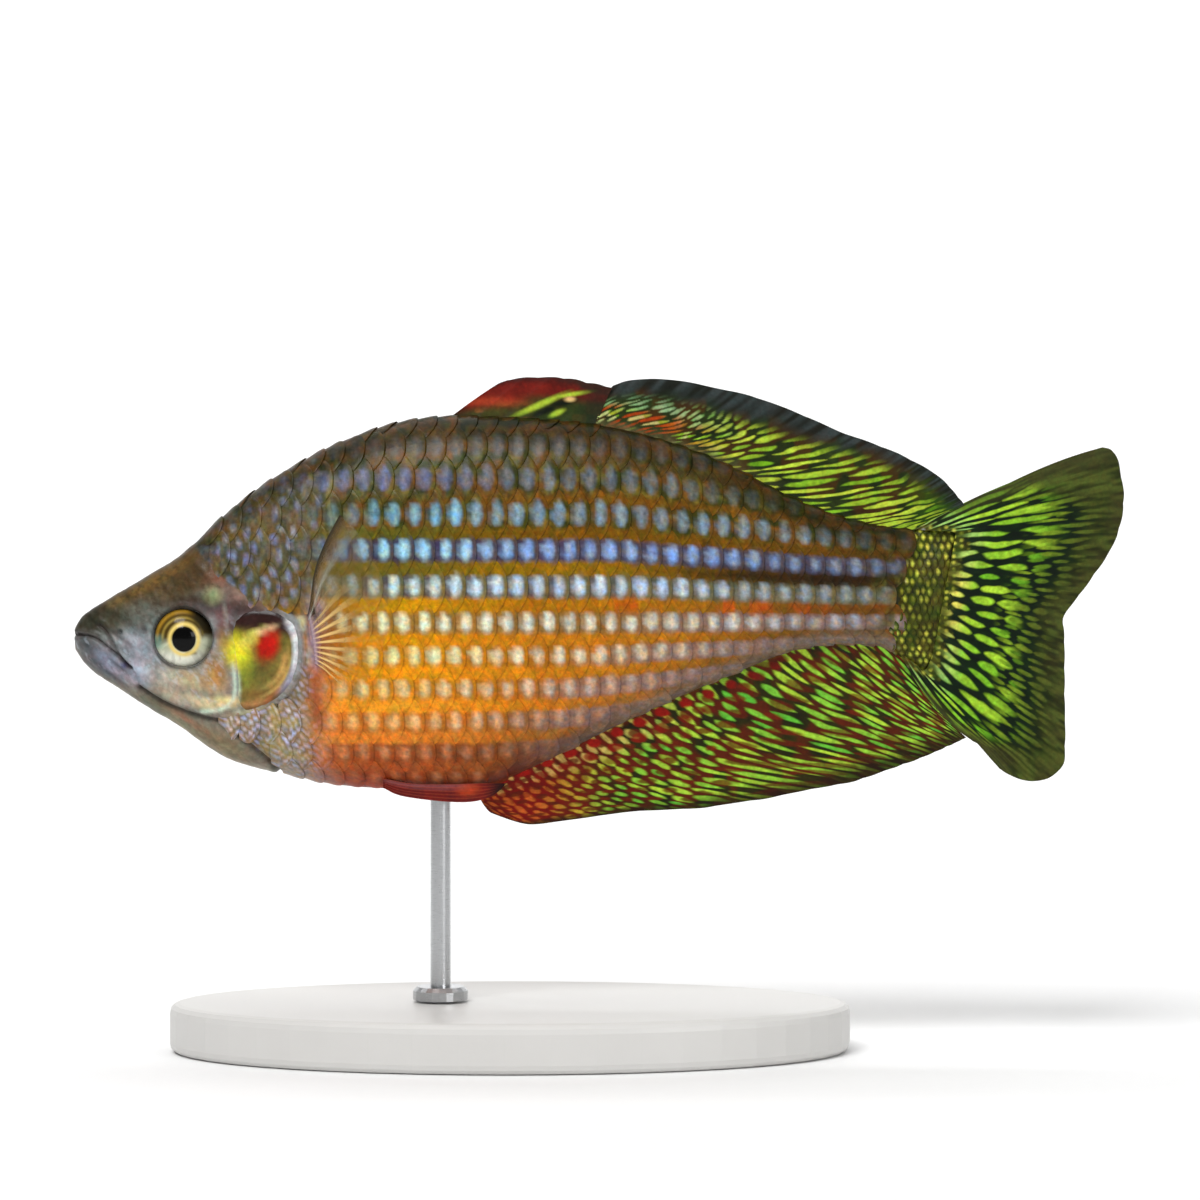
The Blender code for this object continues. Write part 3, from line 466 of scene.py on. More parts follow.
def blob(x, z, cx, cz, rx, rz, turn, soft):
    """A soft-edged oval mark in side view, from 0 to 1."""
    c, s = math.cos(math.radians(turn)), math.sin(math.radians(turn))
    u = ((x - cx) * c + (z - cz) * s) / rx
    v = (-(x - cx) * s + (z - cz) * c) / rz
    return step(1 + soft, 1 - soft, np.hypot(u, v))


def marked(colour, x, z, marks):
    """A colour with a table's soft oval marks laid over it."""
    for *oval, display, strength in marks:
        colour = mix(colour, display, strength * blob(x, z, *oval))
    return colour


# Marks on the head: centre, half sizes and tilt in side view, softness, colour and strength
HEAD_MARKS = [
    (10.5, 6.0, 9.0, 2.6, 31, 0.6, (84, 68, 40), 0.9),
    (16.5, 9.2, 5.0, 3.0, 42, 0.6, (80, 60, 38), 0.8),
    (10.4, 7.0, 5.6, 0.7, 31, 0.8, (124, 92, 40), 0.45),
    (2.2, 2.0, 2.8, 1.5, 20, 0.6, (54, 52, 44), 0.9),
    (5.6, 2.4, 3.2, 1.5, 25, 0.7, (58, 58, 46), 0.75),
    (9.6, 2.4, 2.8, 2.0, 20, 0.7, (98, 104, 100), 0.7),
    (3.2, -2.6, 3.6, 1.8, -38, 0.6, (78, 80, 86), 0.85),
    (5.4, -3.4, 2.6, 1.2, -38, 0.7, (126, 126, 150), 0.7),
    (7.2, -5.0, 2.6, 1.0, -34, 0.7, (116, 110, 120), 0.6),
    (8.6, -1.6, 2.2, 1.8, -50, 0.8, (146, 150, 164), 0.8),
    (8.9, -4.4, 1.8, 1.1, -38, 0.7, (178, 180, 204), 0.7),
    (12.0, -4.8, 2.4, 1.0, -25, 0.8, (186, 182, 178), 0.6),
    (14.8, 4.5, 3.6, 0.5, 8, 0.8, (66, 52, 40), 0.7),
    (20.4, 3.6, 5.6, 1.2, -3, 0.7, (60, 36, 36), 0.85),
    (20.3, 1.3, 1.1, 1.3, 0, 0.8, (60, 42, 38), 0.8),
    (20.3, -1.6, 1.0, 1.9, 8, 0.6, (226, 214, 48), 0.95),
    (19.6, 2.2, 0.3, 1.6, 6, 0.8, (180, 190, 176), 0.7),
    (19.3, 1.4, 1.0, 2.4, 0, 0.7, (112, 72, 74), 0.75),
    (18.0, 5.2, 1.0, 0.9, 20, 0.9, (168, 180, 126), 0.6),
    (18.8, 7.6, 1.6, 1.2, 30, 0.8, (136, 82, 64), 0.6),
    (21.2, 6.0, 2.2, 1.6, -25, 0.8, (128, 84, 66), 0.7),
    (24.4, 4.4, 2.2, 1.0, -25, 0.8, (104, 74, 46), 0.7),
    (15.6, -5.2, 3.0, 1.2, -12, 0.8, (188, 166, 126), 0.8),
    (18.3, -4.3, 1.4, 2.0, 10, 0.8, (182, 128, 58), 0.85),
    (19.3, -1.2, 0.7, 1.8, 5, 0.8, (172, 140, 60), 0.6),
    (18.9, -7.9, 2.4, 0.7, 4, 0.7, (230, 206, 142), 0.9),
    (16.0, -7.7, 3.2, 0.6, -14, 0.8, (212, 192, 158), 0.7),
    (12.4, -6.5, 2.6, 0.7, -28, 0.8, (176, 160, 140), 0.6),
    (22.4, -9.2, 3.0, 0.6, 12, 0.7, (206, 190, 150), 0.55),
    (14.0, -11.6, 6.5, 1.7, -33, 0.7, (132, 122, 92), 0.9),
    (16.0, -11.0, 4.2, 0.4, -33, 0.8, (160, 96, 70), 0.5),
    (19.5, -13.6, 3.6, 1.5, -35, 0.7, (128, 112, 84), 0.85),
    (10.4, -8.8, 2.4, 0.8, -33, 0.7, (96, 96, 78), 0.8),
    (6.9, -3.35, 0.4, 0.4, 0, 0.8, (52, 58, 120), 0.7),
]


def head_paint(x, z, up):
    """Colour of the head: olive above, silvery grey below, with its marks, painted shade in its grooves
    and nostrils and a painted highlight on the preopercle's ridge.
    """
    height = (z - belly_at(x)) / (back_at(x) - belly_at(x))
    colour = layered((132, 124, 112), ((134, 134, 136), step(0.15, 0.45, height)),
                     ((80, 66, 42), step(0.55, 0.82, height)),
                     ((54, 44, 28), step(0.86, 1.0, height)))
    colour = marked(colour, x, z, HEAD_MARKS)
    streaks = noise(0.79 * x - 0.61 * z, (0.61 * x + 0.79 * z) * 4.5, 2.2, 24)
    colour = colour * (1 + step(10.5, 6.5, x) * 0.9 * (streaks - 0.5))[..., None]
    freckles = step(0.55, 0.72, soft_noise(x, up, 0.6, 26))
    glints = step(0.56, 0.74, soft_noise(x, up, 0.7, 23))
    around_eye = np.hypot(x - EYE_X, z - EYE_Z)
    colour = layered(
        grained(colour, 0.62, 0.76, soft_noise(x, up, 1.0, 21)),
        ((52, 42, 26), 0.45 * freckles * step(0.5, 0.75, height)),
        ((196, 198, 214), 0.3 * glints * step(0.1, 0.25, height) * step(0.65, 0.45, height)),
        ((30, 26, 20), 0.8 * bell(around_eye - 3.78, 0.17)))
    # Painted shade: dark lines along the gape, the jaws' rear edges and the throat's seams, which are
    # also grooved in the skin's relief.
    for line, width, strength in ((GAPE, 0.24, 0.55), (UPPER_JAW_BACK, 0.34, 0.62),
                                  (JAW_BACK, 0.3, 0.25), (THROAT_TOP, 0.38, 0.8),
                                  (THROAT_BACK, 0.35, 0.7)):
        colour = mix(colour, (46, 36, 34), strength * bell(distance_to(line, x, z), width))
    # Painted highlight: a pale line along the preopercle's ridge in its lower part.
    ridge = bell(distance_to(PREOPERCLE, x, z), 0.26)
    colour = mix(colour, (204, 218, 200), 0.8 * ridge * step(-2.5, -4.0, z))
    # Painted shade: the nostril pits darkened.
    for nx, nz, radius in NOSTRILS:
        colour = mix(colour, (36, 36, 38), 0.7 * bell(np.hypot(x - nx, z - nz), radius))
    return colour


# Marks on the gill cover, in the same form
COVER_MARKS = [
    (20.9, -5.4, 0.5, 2.4, 2, 0.6, (204, 220, 196), 0.8),
    (21.3, -1.8, 1.3, 2.1, 15, 0.6, (230, 220, 40), 0.97),
    (22.9, -0.4, 1.5, 0.7, 35, 0.7, (214, 190, 70), 0.8),
    (22.4, -4.2, 1.0, 1.7, 0, 0.8, (128, 138, 38), 0.75),
    (22.9, 0.2, 1.7, 0.5, 32, 0.7, (232, 216, 96), 0.85),
    (24.6, 0.95, 1.2, 0.4, 20, 0.8, (246, 224, 172), 0.8),
    (24.75, -1.0, 1.4, 2.1, -14, 0.5, (150, 18, 4), 0.97),
    (24.9, -0.8, 1.1, 1.4, -14, 0.7, (194, 26, 2), 0.9),
    (24.4, -4.5, 1.7, 1.7, 0, 0.7, (92, 82, 30), 0.6),
    (26.6, -4.0, 0.45, 2.6, -14, 0.7, (206, 150, 84), 0.7),
    (25.6, -5.4, 0.45, 2.2, -30, 0.8, (150, 112, 56), 0.6),
    (23.6, -8.1, 2.6, 0.6, 8, 0.7, (204, 138, 86), 0.7),
    (23.2, -6.9, 1.6, 0.7, 0, 0.7, (122, 76, 30), 0.6),
    (25.4, -7.0, 1.6, 0.35, 42, 0.7, (172, 84, 52), 0.5),
]


def cover_paint(x, z, rim):
    """Colour of the gill cover: dark above, then a yellow and a red spot on olive and gold."""
    colour = mix((116, 104, 46), (52, 32, 30), step(-0.2, 1.5, z + 0.12 * (x - 24)))
    colour = grained(marked(colour, x, z, COVER_MARKS), 0.6, 0.8, soft_noise(x, z, 0.8, 31))
    arc = bell(rim - 0.6, 0.035) + bell(rim - 0.75, 0.03)
    colour = mix(colour, (222, 184, 104), 0.5 * arc * step(22.5, 25.5, x) * step(-1.5, -3.5, z))
    edge = step(0.86, 0.96, rim) * step(20.9, 22.0, x)
    behind = (step(25.2, 26.6, x - 1.2 * step(-0.5, 1.5, z)) * step(0.78, 0.86, rim)
              * step(-8.0, -5.0, z))
    silver = layered((150, 142, 168),
                     ((246, 248, 250), soft_noise(x, z, 0.7, 32) * 1.3 * step(-6.5, -1.0, z)),
                     ((140, 124, 140), 0.5 * step(0.55, 0.7, soft_noise(x, z, 1.3, 33))))
    return mix(colour * (1 - 0.5 * edge)[..., None], silver, behind * 0.95)


def finish_mesh(name, points, quads, paint=None, extras=None, side_sign=1):
    """A mesh object from arrays in the fish's millimetres, with its colours on its points."""
    placed = (np.reshape(points, (-1, 3)) + [-BASE_BEHIND_SNOUT, 0.0, MOUTH_HEIGHT]) * MM
    if side_sign < 0:
        placed[:, 1] *= -1
        quads = quads[:, ::-1]
    mesh = bpy.data.meshes.new(name)
    mesh.from_pydata(placed.tolist(), [], quads.tolist())
    mesh.shade_smooth()
    if paint is not None:
        colour = np.ones((len(placed), 4), dtype=np.float32)
        colour[:, :3] = np.clip(np.reshape(paint, (-1, 3)) - 0.004, 0.0015, 1)
        layer = mesh.attributes.new("paint", "FLOAT_COLOR", "POINT")
        layer.data.foreach_set("color", colour.ravel())
    for key, values in (extras or {}).items():
        layer = mesh.attributes.new(key, "FLOAT", "POINT")
        layer.data.foreach_set("value", np.asarray(values, dtype=np.float32).ravel())
    obj = bpy.data.objects.new(name, mesh)
    bpy.context.scene.collection.objects.link(obj)
    return obj


def grid_quads(rows, columns, closed=False, start=0):
    """Faces of a grid of points listed row by row; a closed one joins its last column to its first."""
    i = np.arange(rows - 1)[:, None]
    j = np.arange(columns if closed else columns - 1)[None, :]
    after = (j + 1) % columns
    quads = np.stack([i * columns + j, i * columns + after,
                      (i + 1) * columns + after, (i + 1) * columns + j], axis=-1)
    return quads.reshape(-1, 4) + start


def uv_map(obj, coordinates):
    """A UV map named OFBake, given at each point."""
    mesh = obj.data
    corner = np.zeros(len(mesh.loops), dtype=np.int32)
    mesh.loops.foreach_get("vertex_index", corner)
    layer = mesh.uv_layers.new(name="OFBake")
    layer.data.foreach_set("uv", np.asarray(coordinates, dtype=np.float32)[corner].ravel())


def in_head(x, z):
    """Above 0 ahead of the nape and gill opening, below 0 on the trunk, in millimetres."""
    return -distance_to(NAPE + GILL_SLIT[1:] + THROAT_BACK[1:], x, z)


# Grooves and ridges of the head: a line, how far beside it, the rise and the half width
FOLDS = [
    (GAPE, 0.0, -0.32, 0.17),
    (UPPER_JAW_BACK, 0.0, -0.22, 0.2),
    (UPPER_JAW_BACK, 0.55, 0.1, 0.35),
    (JAW_BACK, 0.0, -0.22, 0.25),
    (THROAT_TOP, 0.0, -0.4, 0.3),
    (THROAT_TOP, 0.7, 0.15, 0.45),
    (THROAT_BACK, 0.0, -0.3, 0.3),
]


def skin_relief(x, z):
    """How far the skin stands out of the solids' surface: folds, lips, sockets and slits."""
    ahead = in_head(x, z)
    wide = 0.35 + 0.9 * step(2.5, 4.0, z)
    relief = -0.03 - SKIN_DEPTH * step(1, 0, (ahead + 0.35) / (0.35 + wide))
    relief -= 0.45 * bell(ahead + 0.1, 0.22) * step(4.5, 2.0, z) * step(14, 17, x)
    for line, beside, rise, width in FOLDS:
        relief += rise * bell(distance_to(line, x, z) - beside, width)
    relief += 0.2 * step(9.4, 6.5, x) * bell(np.abs(distance_to(GAPE, x, z)) - 0.5, 0.33)
    relief += 0.1 * bell(distance_to(PREOPERCLE, x, z), 0.3) * step(0.2, 0.9, ahead)
    around = np.hypot(x - EYE_X, z - EYE_Z)
    relief += 0.09 * bell(around - EYE_RADIUS - 0.4, 0.3)
    relief -= 1.6 * step(EYE_RADIUS + 0.06, EYE_RADIUS - 0.35, around)
    for nx, nz, radius in NOSTRILS:
        away = np.hypot(x - nx, z - nz)
        relief += 0.08 * bell(away - radius * 1.5, 0.18) - 0.4 * bell(away, radius)
    rough = 0.07 * (noise(x, z, 1.3, 41) - 0.5) + 0.05 * (noise(x, z, 0.5, 42) - 0.5)
    return relief + rough * step(-0.5, 0.5, ahead)


def make_skin():
    """One skin over the head, jaw, throat, trunk and stalk, closed at the snout and behind."""
    along = np.concatenate([np.arange(0.36, 9.2, 0.13), np.arange(9.3, 30.5, 0.22),
                            np.arange(31.0, STALK, 0.7), np.linspace(STALK, BODY_END, 40)])
    half = 150
    share = (np.arange(half) + 0.5) / half
    x, s = np.meshgrid(along, np.concatenate([share, share[::-1]]), indexing="ij")
    level = look_up(PLACES, x, s)[..., 2]
    t = np.clip((x - STALK) / (BODY_END - STALK), 0, 1)
    x = np.where(x > STALK, STALK + t * (tail_base_at(level) - STALK), x)
    z = look_up(PLACES, x, s)[..., 2]
    points = on_body(x, s, skin_relief(x, z))
    points[..., 0] = np.maximum(points[..., 0], along[0])
    points[:, half:, 1] *= -1
    paint = mix(body_paint(x, z, row_of(x, s)) * 0.7, head_paint(x, z, s * along_table(GIRTH, x)),
                step(-0.25, 0.25, in_head(x, z)))
    paint = mix(paint, (40, 40, 16), step(-8.0, -6.0, x - tail_base_at(z)))
    centre = points[:1].mean(axis=1, keepdims=True)
    front = centre + (points[:1] - centre) * np.array([0.02, 0.5, 0.85])[:, None, None]
    rear = points[-1:] * np.array([[[1, 0.6, 1]], [[1, 0.05, 1]]]) + [0.15, 0, 0]
    every = np.concatenate([front, points, rear])
    paint = paint[np.clip(np.arange(len(every)) - len(front), 0, len(paint) - 1)]
    skin = finish_mesh("skin", every, grid_quads(len(every), 2 * half, closed=True), paint)
    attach(skin, "root")
    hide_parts("head", "lower_jaw", "throat", "trunk", "tail_stalk")
    return skin


def root_paint(x, z, across, down):
    """Colour of the fine scales over the root of the tail fin."""
    middle = step(0.42, 0.12, np.hypot(across * 1.15, down))
    tone = noise(x, z, 0.9, 142)
    ahead = step(-3.4, -6.4, x - tail_base_at(z) + 1.5 * noise(x, z, 1.7, 145))
    light = layered(
        (108, 118, 30), ((208, 206, 76), step(0.25, 0.75, tone)),
        ((122, 62, 28), 0.6 * step(0.5, 0.7, noise(x, z, 2.0, 143)) * step(4, -4, z)),
        ((150, 140, 146), ahead * step(0.45, 0.6, noise(x, z, 1.4, 146))),
        ((140, 74, 30), ahead * step(0.5, 0.65, noise(x, z, 1.8, 147))))
    colour = layered((50, 66, 14), ((76, 64, 20), noise(x, z, 1.5, 141)),
                     (light, middle * (0.3 + 0.9 * tone)))
    meet = step(-0.9, 0.5, x - tail_base_at(z) + 1.6 * (noise(x, z, 0.8, 148) - 0.5))
    return mix(grained(colour, 0.6, 0.8, noise(x, z, 0.4, 144)), (20, 32, 10), 0.7 * meet)


def scale_plates(name, centres, rows, length, height, side, along_n, across_n, lift=1.0):
    """Overlapping plates on one side, each rounded behind and sunk into the skin in front. A
    plate has along_n by across_n points, and height is half of its height, in rows."""
    fine = length < COLUMN / 2
    front, rear = 0.62 * length, 0.5 * length
    a = np.concatenate([[0.0, 0.28], np.linspace(0.44, 1.0, along_n - 3), [1.0]])
    grid_a, grid_b = np.meshgrid(a, np.linspace(-1, 1, across_n), indexing="ij")
    flat = np.abs(grid_b)
    at = grid_a * (front + rear * (1 - 0.72 * flat**2.4) - 0.02) - front
    up = grid_b * (0.82 + 0.18 * np.sin(np.pi * grid_a) ** 0.7)
    rise = -0.2 + 0.19 * step(0.0, 0.9, grid_a) - 0.02 * flat**2 - 0.07 * step(0.86, 1.0, flat)
    rise[-1] -= 0.07
    cx, cr = centres[:, None, None], rows[:, None, None]
    x, row = cx + at, cr - up * height
    s = share_of(x, row)
    place = look_up(PLACES, x, np.clip(s, 0, 1))[..., 2]
    tilt = 0.03 * (np.random.default_rng(7).random(len(centres)) - 0.5)
    height_at = rise * lift + tilt[:, None, None] * grid_a
    if fine:
        height_at = height_at - 0.1 * step(-5.0, -6.6, x - tail_base_at(place))
        paint = root_paint(x, place, at / length + 0 * x, up / 1.3 + 0 * x)
    else:
        cell = np.clip(at / length + 0 * x, -0.5, 0.5), np.clip(row - cr, -0.5, 0.5), cr + 0 * x
        paint = body_paint(x, place, row, cell)
    each = np.random.default_rng(17).random(len(centres))[:, None, None]
    spread = 0.7 if fine else 0.16
    quads = np.concatenate([grid_quads(along_n, across_n, start=along_n * across_n * k)
                            for k in range(len(centres))])
    obj = finish_mesh(name, on_body(x, s, height_at), quads,
                      grained(paint, 1 - spread / 2, spread, each), side_sign=side)
    u = (cx + np.clip(at, -0.47 * length, 0.47 * length)) / UV_LENGTH
    v = share_of(cx, cr + 0 * x - np.clip(up * height, -0.46, 0.46))
    v = (0.5 if side > 0 else 0.0) + 0.5 * np.clip(v, 0, 1)
    uv_map(obj, np.stack([u + 0 * x, v], axis=-1).reshape(-1, 2))
    return obj


def scale_places(side):
    """Centres and rows of one flank's scales. Only the right one's cross the ridge of the back."""
    row, column = np.meshgrid(np.arange(-3.0, 12.0), np.arange(40), indexing="ij")
    x = FIRST_COLUMN + COLUMN * (column + 0.5 * (row % 2))
    share = share_of(x, row)
    z = look_up(PLACES, x, np.minimum(share, 1))[..., 2]
    kept = ((x < LAST_SCALE) & (share > 0.03) & (share < (1.001 if side > 0 else 0.98))
            & (in_head(x - 0.9, z) < -0.25) & (x < tail_base_at(z) - 5.3))
    return x[kept], row[kept]


def fine_scale_places():
    """Centres and rows of the fine scales over the tail fin's root, a little scattered."""
    row, x = np.meshgrid(np.arange(0.5, 7.6, FINE_ROW), np.arange(96.0, 110.0, FINE_COLUMN),
                         indexing="ij")
    x = x + FINE_COLUMN / 2 * (np.round(row / FINE_ROW) % 2)
    share = share_of(x, row)
    z = look_up(PLACES, x, share)[..., 2]
    beyond = x - tail_base_at(z)
    uneven = noise(x * 0.2, row * 2, 1.0, 140)
    kept = (share < 0.99) & (share > 0.01) & (beyond > 1.4 * uneven - 6.4) & (beyond < 0.7 - uneven)
    shift = np.random.default_rng(23).random((kept.sum(), 2)) - 0.5
    return x[kept] + 0.28 * shift[:, 0], row[kept] + 0.1 * shift[:, 1]


def make_scales():
    """Scales over both flanks, and finer ones over the root of the tail fin."""
    made = []
    for side, word in SIDES:
        made.append(scale_plates("scales_" + word, *scale_places(side), COLUMN,
                                 SCALE_HEIGHT, side, 15, 13))
        made.append(scale_plates("tail_scales_" + word, *fine_scale_places(), FINE_COLUMN,
                                 FINE_HEIGHT, side, 7, 7, lift=0.6))
    for obj in made:
        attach(obj, "root")
    return made


def make_gill_cover(side, word):
    """A thin plate on the side of the head, proud of the skin, with a silvery rear edge."""
    outline = smooth_line(GILL_COVER + [GILL_COVER[0]], 8)[:-1]
    rim = np.array([0.0, 0.15, 0.3, 0.45, 0.58, 0.68, 0.76, 0.82, 0.88, 0.93, 0.97, 0.99, 1.0, 1.0])
    flat = COVER_MIDDLE + (outline[None] - COVER_MIDDLE) * np.maximum(rim, 0.001)[:, None, None]
    x, z = flat[..., 0], flat[..., 1]
    turn = rim[:, None] + 0 * x
    height = (0.2 * step(1.0, 0.9, turn) + 0.03 * np.cos(9 * turn) - 0.05
              - 0.2 * step(22.2, 20.6, x) * step(0.6, 1.0, turn)
              - 0.12 * bell(turn - 0.8, 0.03) * step(23, 25, x)
              + 0.05 * (noise(x, z, 1.0, 51) - 0.5))
    height[-2:] = [[-0.1], [-0.6]]
    points = np.stack([x, flank(x, z) + height, z], axis=-1)
    quads = grid_quads(len(rim), len(outline), closed=True)[:, ::-1]
    obj = finish_mesh("gill_flap_" + word, points, quads, cover_paint(x, z, turn), side_sign=side)
    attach(obj, "root")
    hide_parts("gill_cover_" + word)
    return obj


def eye_paint(across, up, radius, turn):
    """Colour of the eye: a black pupil in a gold ring, on an iris dark above and pale below."""
    away = np.hypot(across - 0.06, (up + 0.05) / 1.07)
    level = up - 0.3 * across * (across < 0)
    above = step(-0.05, 0.25, level)
    mottle = noise(8 * np.cos(turn) + 0 * radius, 8 * np.sin(turn) + 3 * radius, 1.0, 61)
    return layered(
        (196, 200, 172), ((70, 54, 26), step(-0.12, 0.2, level)),
        ((160, 122, 40), above * bell(radius - 0.86, 0.07) * step(0.5, 0.0, across)),
        ((150, 128, 60), above * bell(radius - 0.66, 0.05)),
        ((36, 36, 30), 0.8 * step(0.1, 0.5, across) * step(0.0, 0.35, up)),
        ((244, 244, 228), 0.9 * step(-0.3, -0.7, up)),
        # Painted shade: a darker teal patch at the front of the iris's pale lower part.
        ((96, 150, 140), 0.6 * step(-0.5, -0.85, across) * step(0.15, -0.1, np.abs(up + 0.15) - 0.2)),
        ((66, 50, 30), 0.8 * bell(up + 0.5, 0.06) * step(0.05, 0.15, across) * step(0.55, 0.4, across)),
        ((58, 46, 22), 0.2 * step(0.5, 0.8, mottle)),
        ((236, 208, 118), 0.95 * bell(away - 0.47, 0.075)),
        ((60, 44, 22), 0.6 * bell(away - 0.6, 0.03) * step(-0.2, 0.3, up)),
        ((4, 4, 10), step(0.41, 0.37, away)),
        ((20, 18, 14), step(0.94, 0.985, radius + 0 * turn)))


def make_eye(side, word):
    """A shallow ball with a raised dome over the pupil."""
    rings, around = 96, 128
    polar = np.linspace(0, EYE_WRAP, rings)[:, None]
    turn = np.linspace(0, 2 * math.pi, around, endpoint=False)[None, :]
    radius = np.sin(polar)
    across, up = radius * np.cos(turn), radius * np.sin(turn)
    out = EYE_BULGE - EYE_DEPTH + EYE_DEPTH * np.cos(polar) + DOME_RISE * step(0.46, 0.3, radius)
    points = np.stack([EYE_X + EYE_RADIUS * across, flank(EYE_X, EYE_Z) + out + 0 * turn,
                       EYE_Z + EYE_RADIUS * up], axis=-1)
    obj = finish_mesh("eyeball_" + word, points, grid_quads(rings, around, closed=True),
                      eye_paint(across, up, radius, turn), side_sign=side)
    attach(obj, "root")
    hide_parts("eye_" + word)
    return obj


def along_line(points):
    """A function from 0 to 1 along a side-view line, by its length."""
    line = smooth_line(points)
    length = np.concatenate([[0.0], np.cumsum(np.linalg.norm(np.diff(line, axis=0), axis=1))])

    def at(share):
        """The place on the line at a share of its length."""
        where = np.asarray(share) * length[-1]
        return np.interp(where, length, line[:, 0]), np.interp(where, length, line[:, 1])

    return at


def swept_fin(outline, sunk, front, length, edge, lean, wave, bows):
    """Middle surface of an upright fin, as in the solids, with its base sunk below an outline of
    the body. Its rays bow by different shares at the front, in the middle and behind."""
    edge = along_line(edge)

    def surface(u, v):
        """The place at a share u from front to back and v from base to edge."""
        x0 = front + length * u
        z0 = outline(x0) - sunk
        u = np.clip(u, 0, 1)
        x1, z1 = edge(1 - (1 - u) ** lean)
        ends = bows[0] * (1 - u) ** 4 + bows[2] * u**4
        bow = (ends + bows[1] * (1 - (1 - u) ** 4 - u**4)) * v * (1 - v)
        x = x0 + (x1 - x0) * (v - bow)
        z = z0 + (z1 - z0) * (v + bow)
        return np.stack([x, wave * v * v * np.sin(math.pi * (0.3 + 1.5 * u)), z], axis=-1)

    return surface


def first_dorsal():
    """Middle surface of the short red fin on the back."""
    edge = [(52.6, 31.4), (54.2, 31.95), (56.3, 32.15), (59.6, 32.15), (61.4, 32.0),
            (63.3, 31.6), (65.2, 31.2), (66.6, 30.8)]
    return swept_fin(back_at, FIN_SUNK, 46.0, 18.5, edge, lean=1.25, wave=0.25,
                     bows=(0.06, 0.1, 0.12))


def second_dorsal():
    """Middle surface of the long fin behind it."""
    edge = [(66.7, 31.1), (68.4, 31.7), (70.5, 31.95), (72.5, 31.95), (76.2, 31.55), (80.0, 30.7),
            (83.7, 29.9), (87.4, 28.6), (91.1, 27.1), (94.8, 25.4), (98.5, 24.1), (102.2, 22.6),
            (105.9, 20.6), (107.8, 19.1), (109.1, 17.6), (110.1, 16.45)]
    return swept_fin(back_at, FIN_SUNK, 64.4, 39.0, edge, lean=1.9, wave=0.45,
                     bows=(0.35, -0.6, 0.0))


def anal():
    """Middle surface of the long fin below."""
    edge = [(51.6, -21.7), (54.0, -22.6), (55.9, -23.1), (57.7, -23.1), (61.4, -22.6),
            (65.1, -22.1), (68.8, -21.6), (74.4, -21.3), (78.1, -21.1), (81.8, -20.5),
            (85.5, -20.0), (89.2, -19.2), (92.9, -18.5), (96.6, -17.8), (100.3, -16.5),
            (104.0, -15.2), (107.8, -13.6), (110.3, -12.4)]
    return swept_fin(belly_at, -FIN_SUNK, 49.8, 52.4, edge, lean=1.85, wave=0.5,
                     bows=(0.35, 0.3, 0.22))


def tail():
    """Middle surface of the forked tail fin, whose outer rays bow."""
    edge = along_line([(127.3, 23.5), (128.4, 23.2), (129.1, 22.3), (129.6, 20.1), (130.0, 17.0),
                       (129.4, 13.3), (128.1, 10.4), (126.3, 7.7), (124.4, 5.1), (122.9, 3.2),
                       (122.4, 1.9), (122.6, 0.0), (122.6, -7.7), (122.6, -13.9),
                       (122.2, -16.0), (120.7, -17.3), (118.9, -17.8), (117.2, -17.6),
                       (115.6, -17.0), (114.4, -16.2)])
    root = along_line([(103.9, 13.3), (106.5, 13.1), (108.6, 13.0), (108.9, 12.2), (108.1, 8.0),
                       (107.2, 3.4), (106.4, -1.0), (105.3, -4.0), (103.8, -3.1),
                       (102.2, -2.1)])

    def surface(u, v):
        """The place at a share u from front to back and v from base to edge."""
        x0, z0 = root(u)
        x1, z1 = edge(u)
        low = 1.7 * np.sin(math.pi * np.clip(v / 0.75, 0, 1)) ** 0.8 * u**10
        high = 0.35 * np.sin(math.pi * np.clip(v / 0.5, 0, 1)) * (1 - u) ** 10
        bulge = 1.28 * v * np.sin(math.pi * v) * (1 - u) ** 6 + high - low
        wave = 0.9 * v * v * np.sin(math.pi * (0.15 + 1.1 * u))
        return np.stack([x0 + (x1 - x0) * v, wave, z0 + (z1 - z0) * v + bulge], axis=-1)

    return surface


def pectoral(side):
    """Middle surface of the fin that spreads from a side, cupped towards the body."""
    top_angle, bottom_angle = math.radians(71.0), math.radians(-42.0)
    away = math.radians(35.0)

    def surface(u, v):
        """The place at a share u from front to back and v from base to edge."""
        x0, z0 = 30.15 + 0.8 * u, 2.8 - 5.8 * u
        angle = top_angle + (bottom_angle - top_angle) * u
        reach = (12.6 - 6.6 * np.clip(u, 0, 1) ** 1.15) * v
        back = 1.1 * np.sin(math.pi * v) * (1 - u)
        cup = np.sin(math.pi * u) * 0.6 * v * v
        y = flank(x0, z0) - 0.1 + reach * math.tan(away) - cup
        return np.stack([x0 + reach * np.cos(angle) - back, side * y,
                         z0 + reach * np.sin(angle)], axis=-1)

    return surface


def pelvic(side):
    """Middle surface of the fin folded along one side of the belly."""
    top = along_line([(38.6, -17.3), (42.0, -17.9), (46.0, -18.0), (50.0, -17.9), (53.6, -17.9)])
    bottom = along_line([(38.6, -18.3), (40.5, -19.3), (44.0, -19.9), (48.5, -20.2),
                         (51.3, -19.7), (53.0, -18.6)])
    out = curve_through([(38.0, 3.1), (42.0, 3.45), (46.0, 3.4), (50.0, 3.1), (54.0, 2.7)])

    def surface(u, v):
        """The place at a share u from front to back and v from base to edge."""
        x0, z0 = top(v)
        x1, z1 = bottom(v)
        x, z = x0 + (x1 - x0) * u, z0 + (z1 - z0) * u
        return np.stack([x, side * (out(x) - 0.25 * u), z], axis=-1)

    return surface


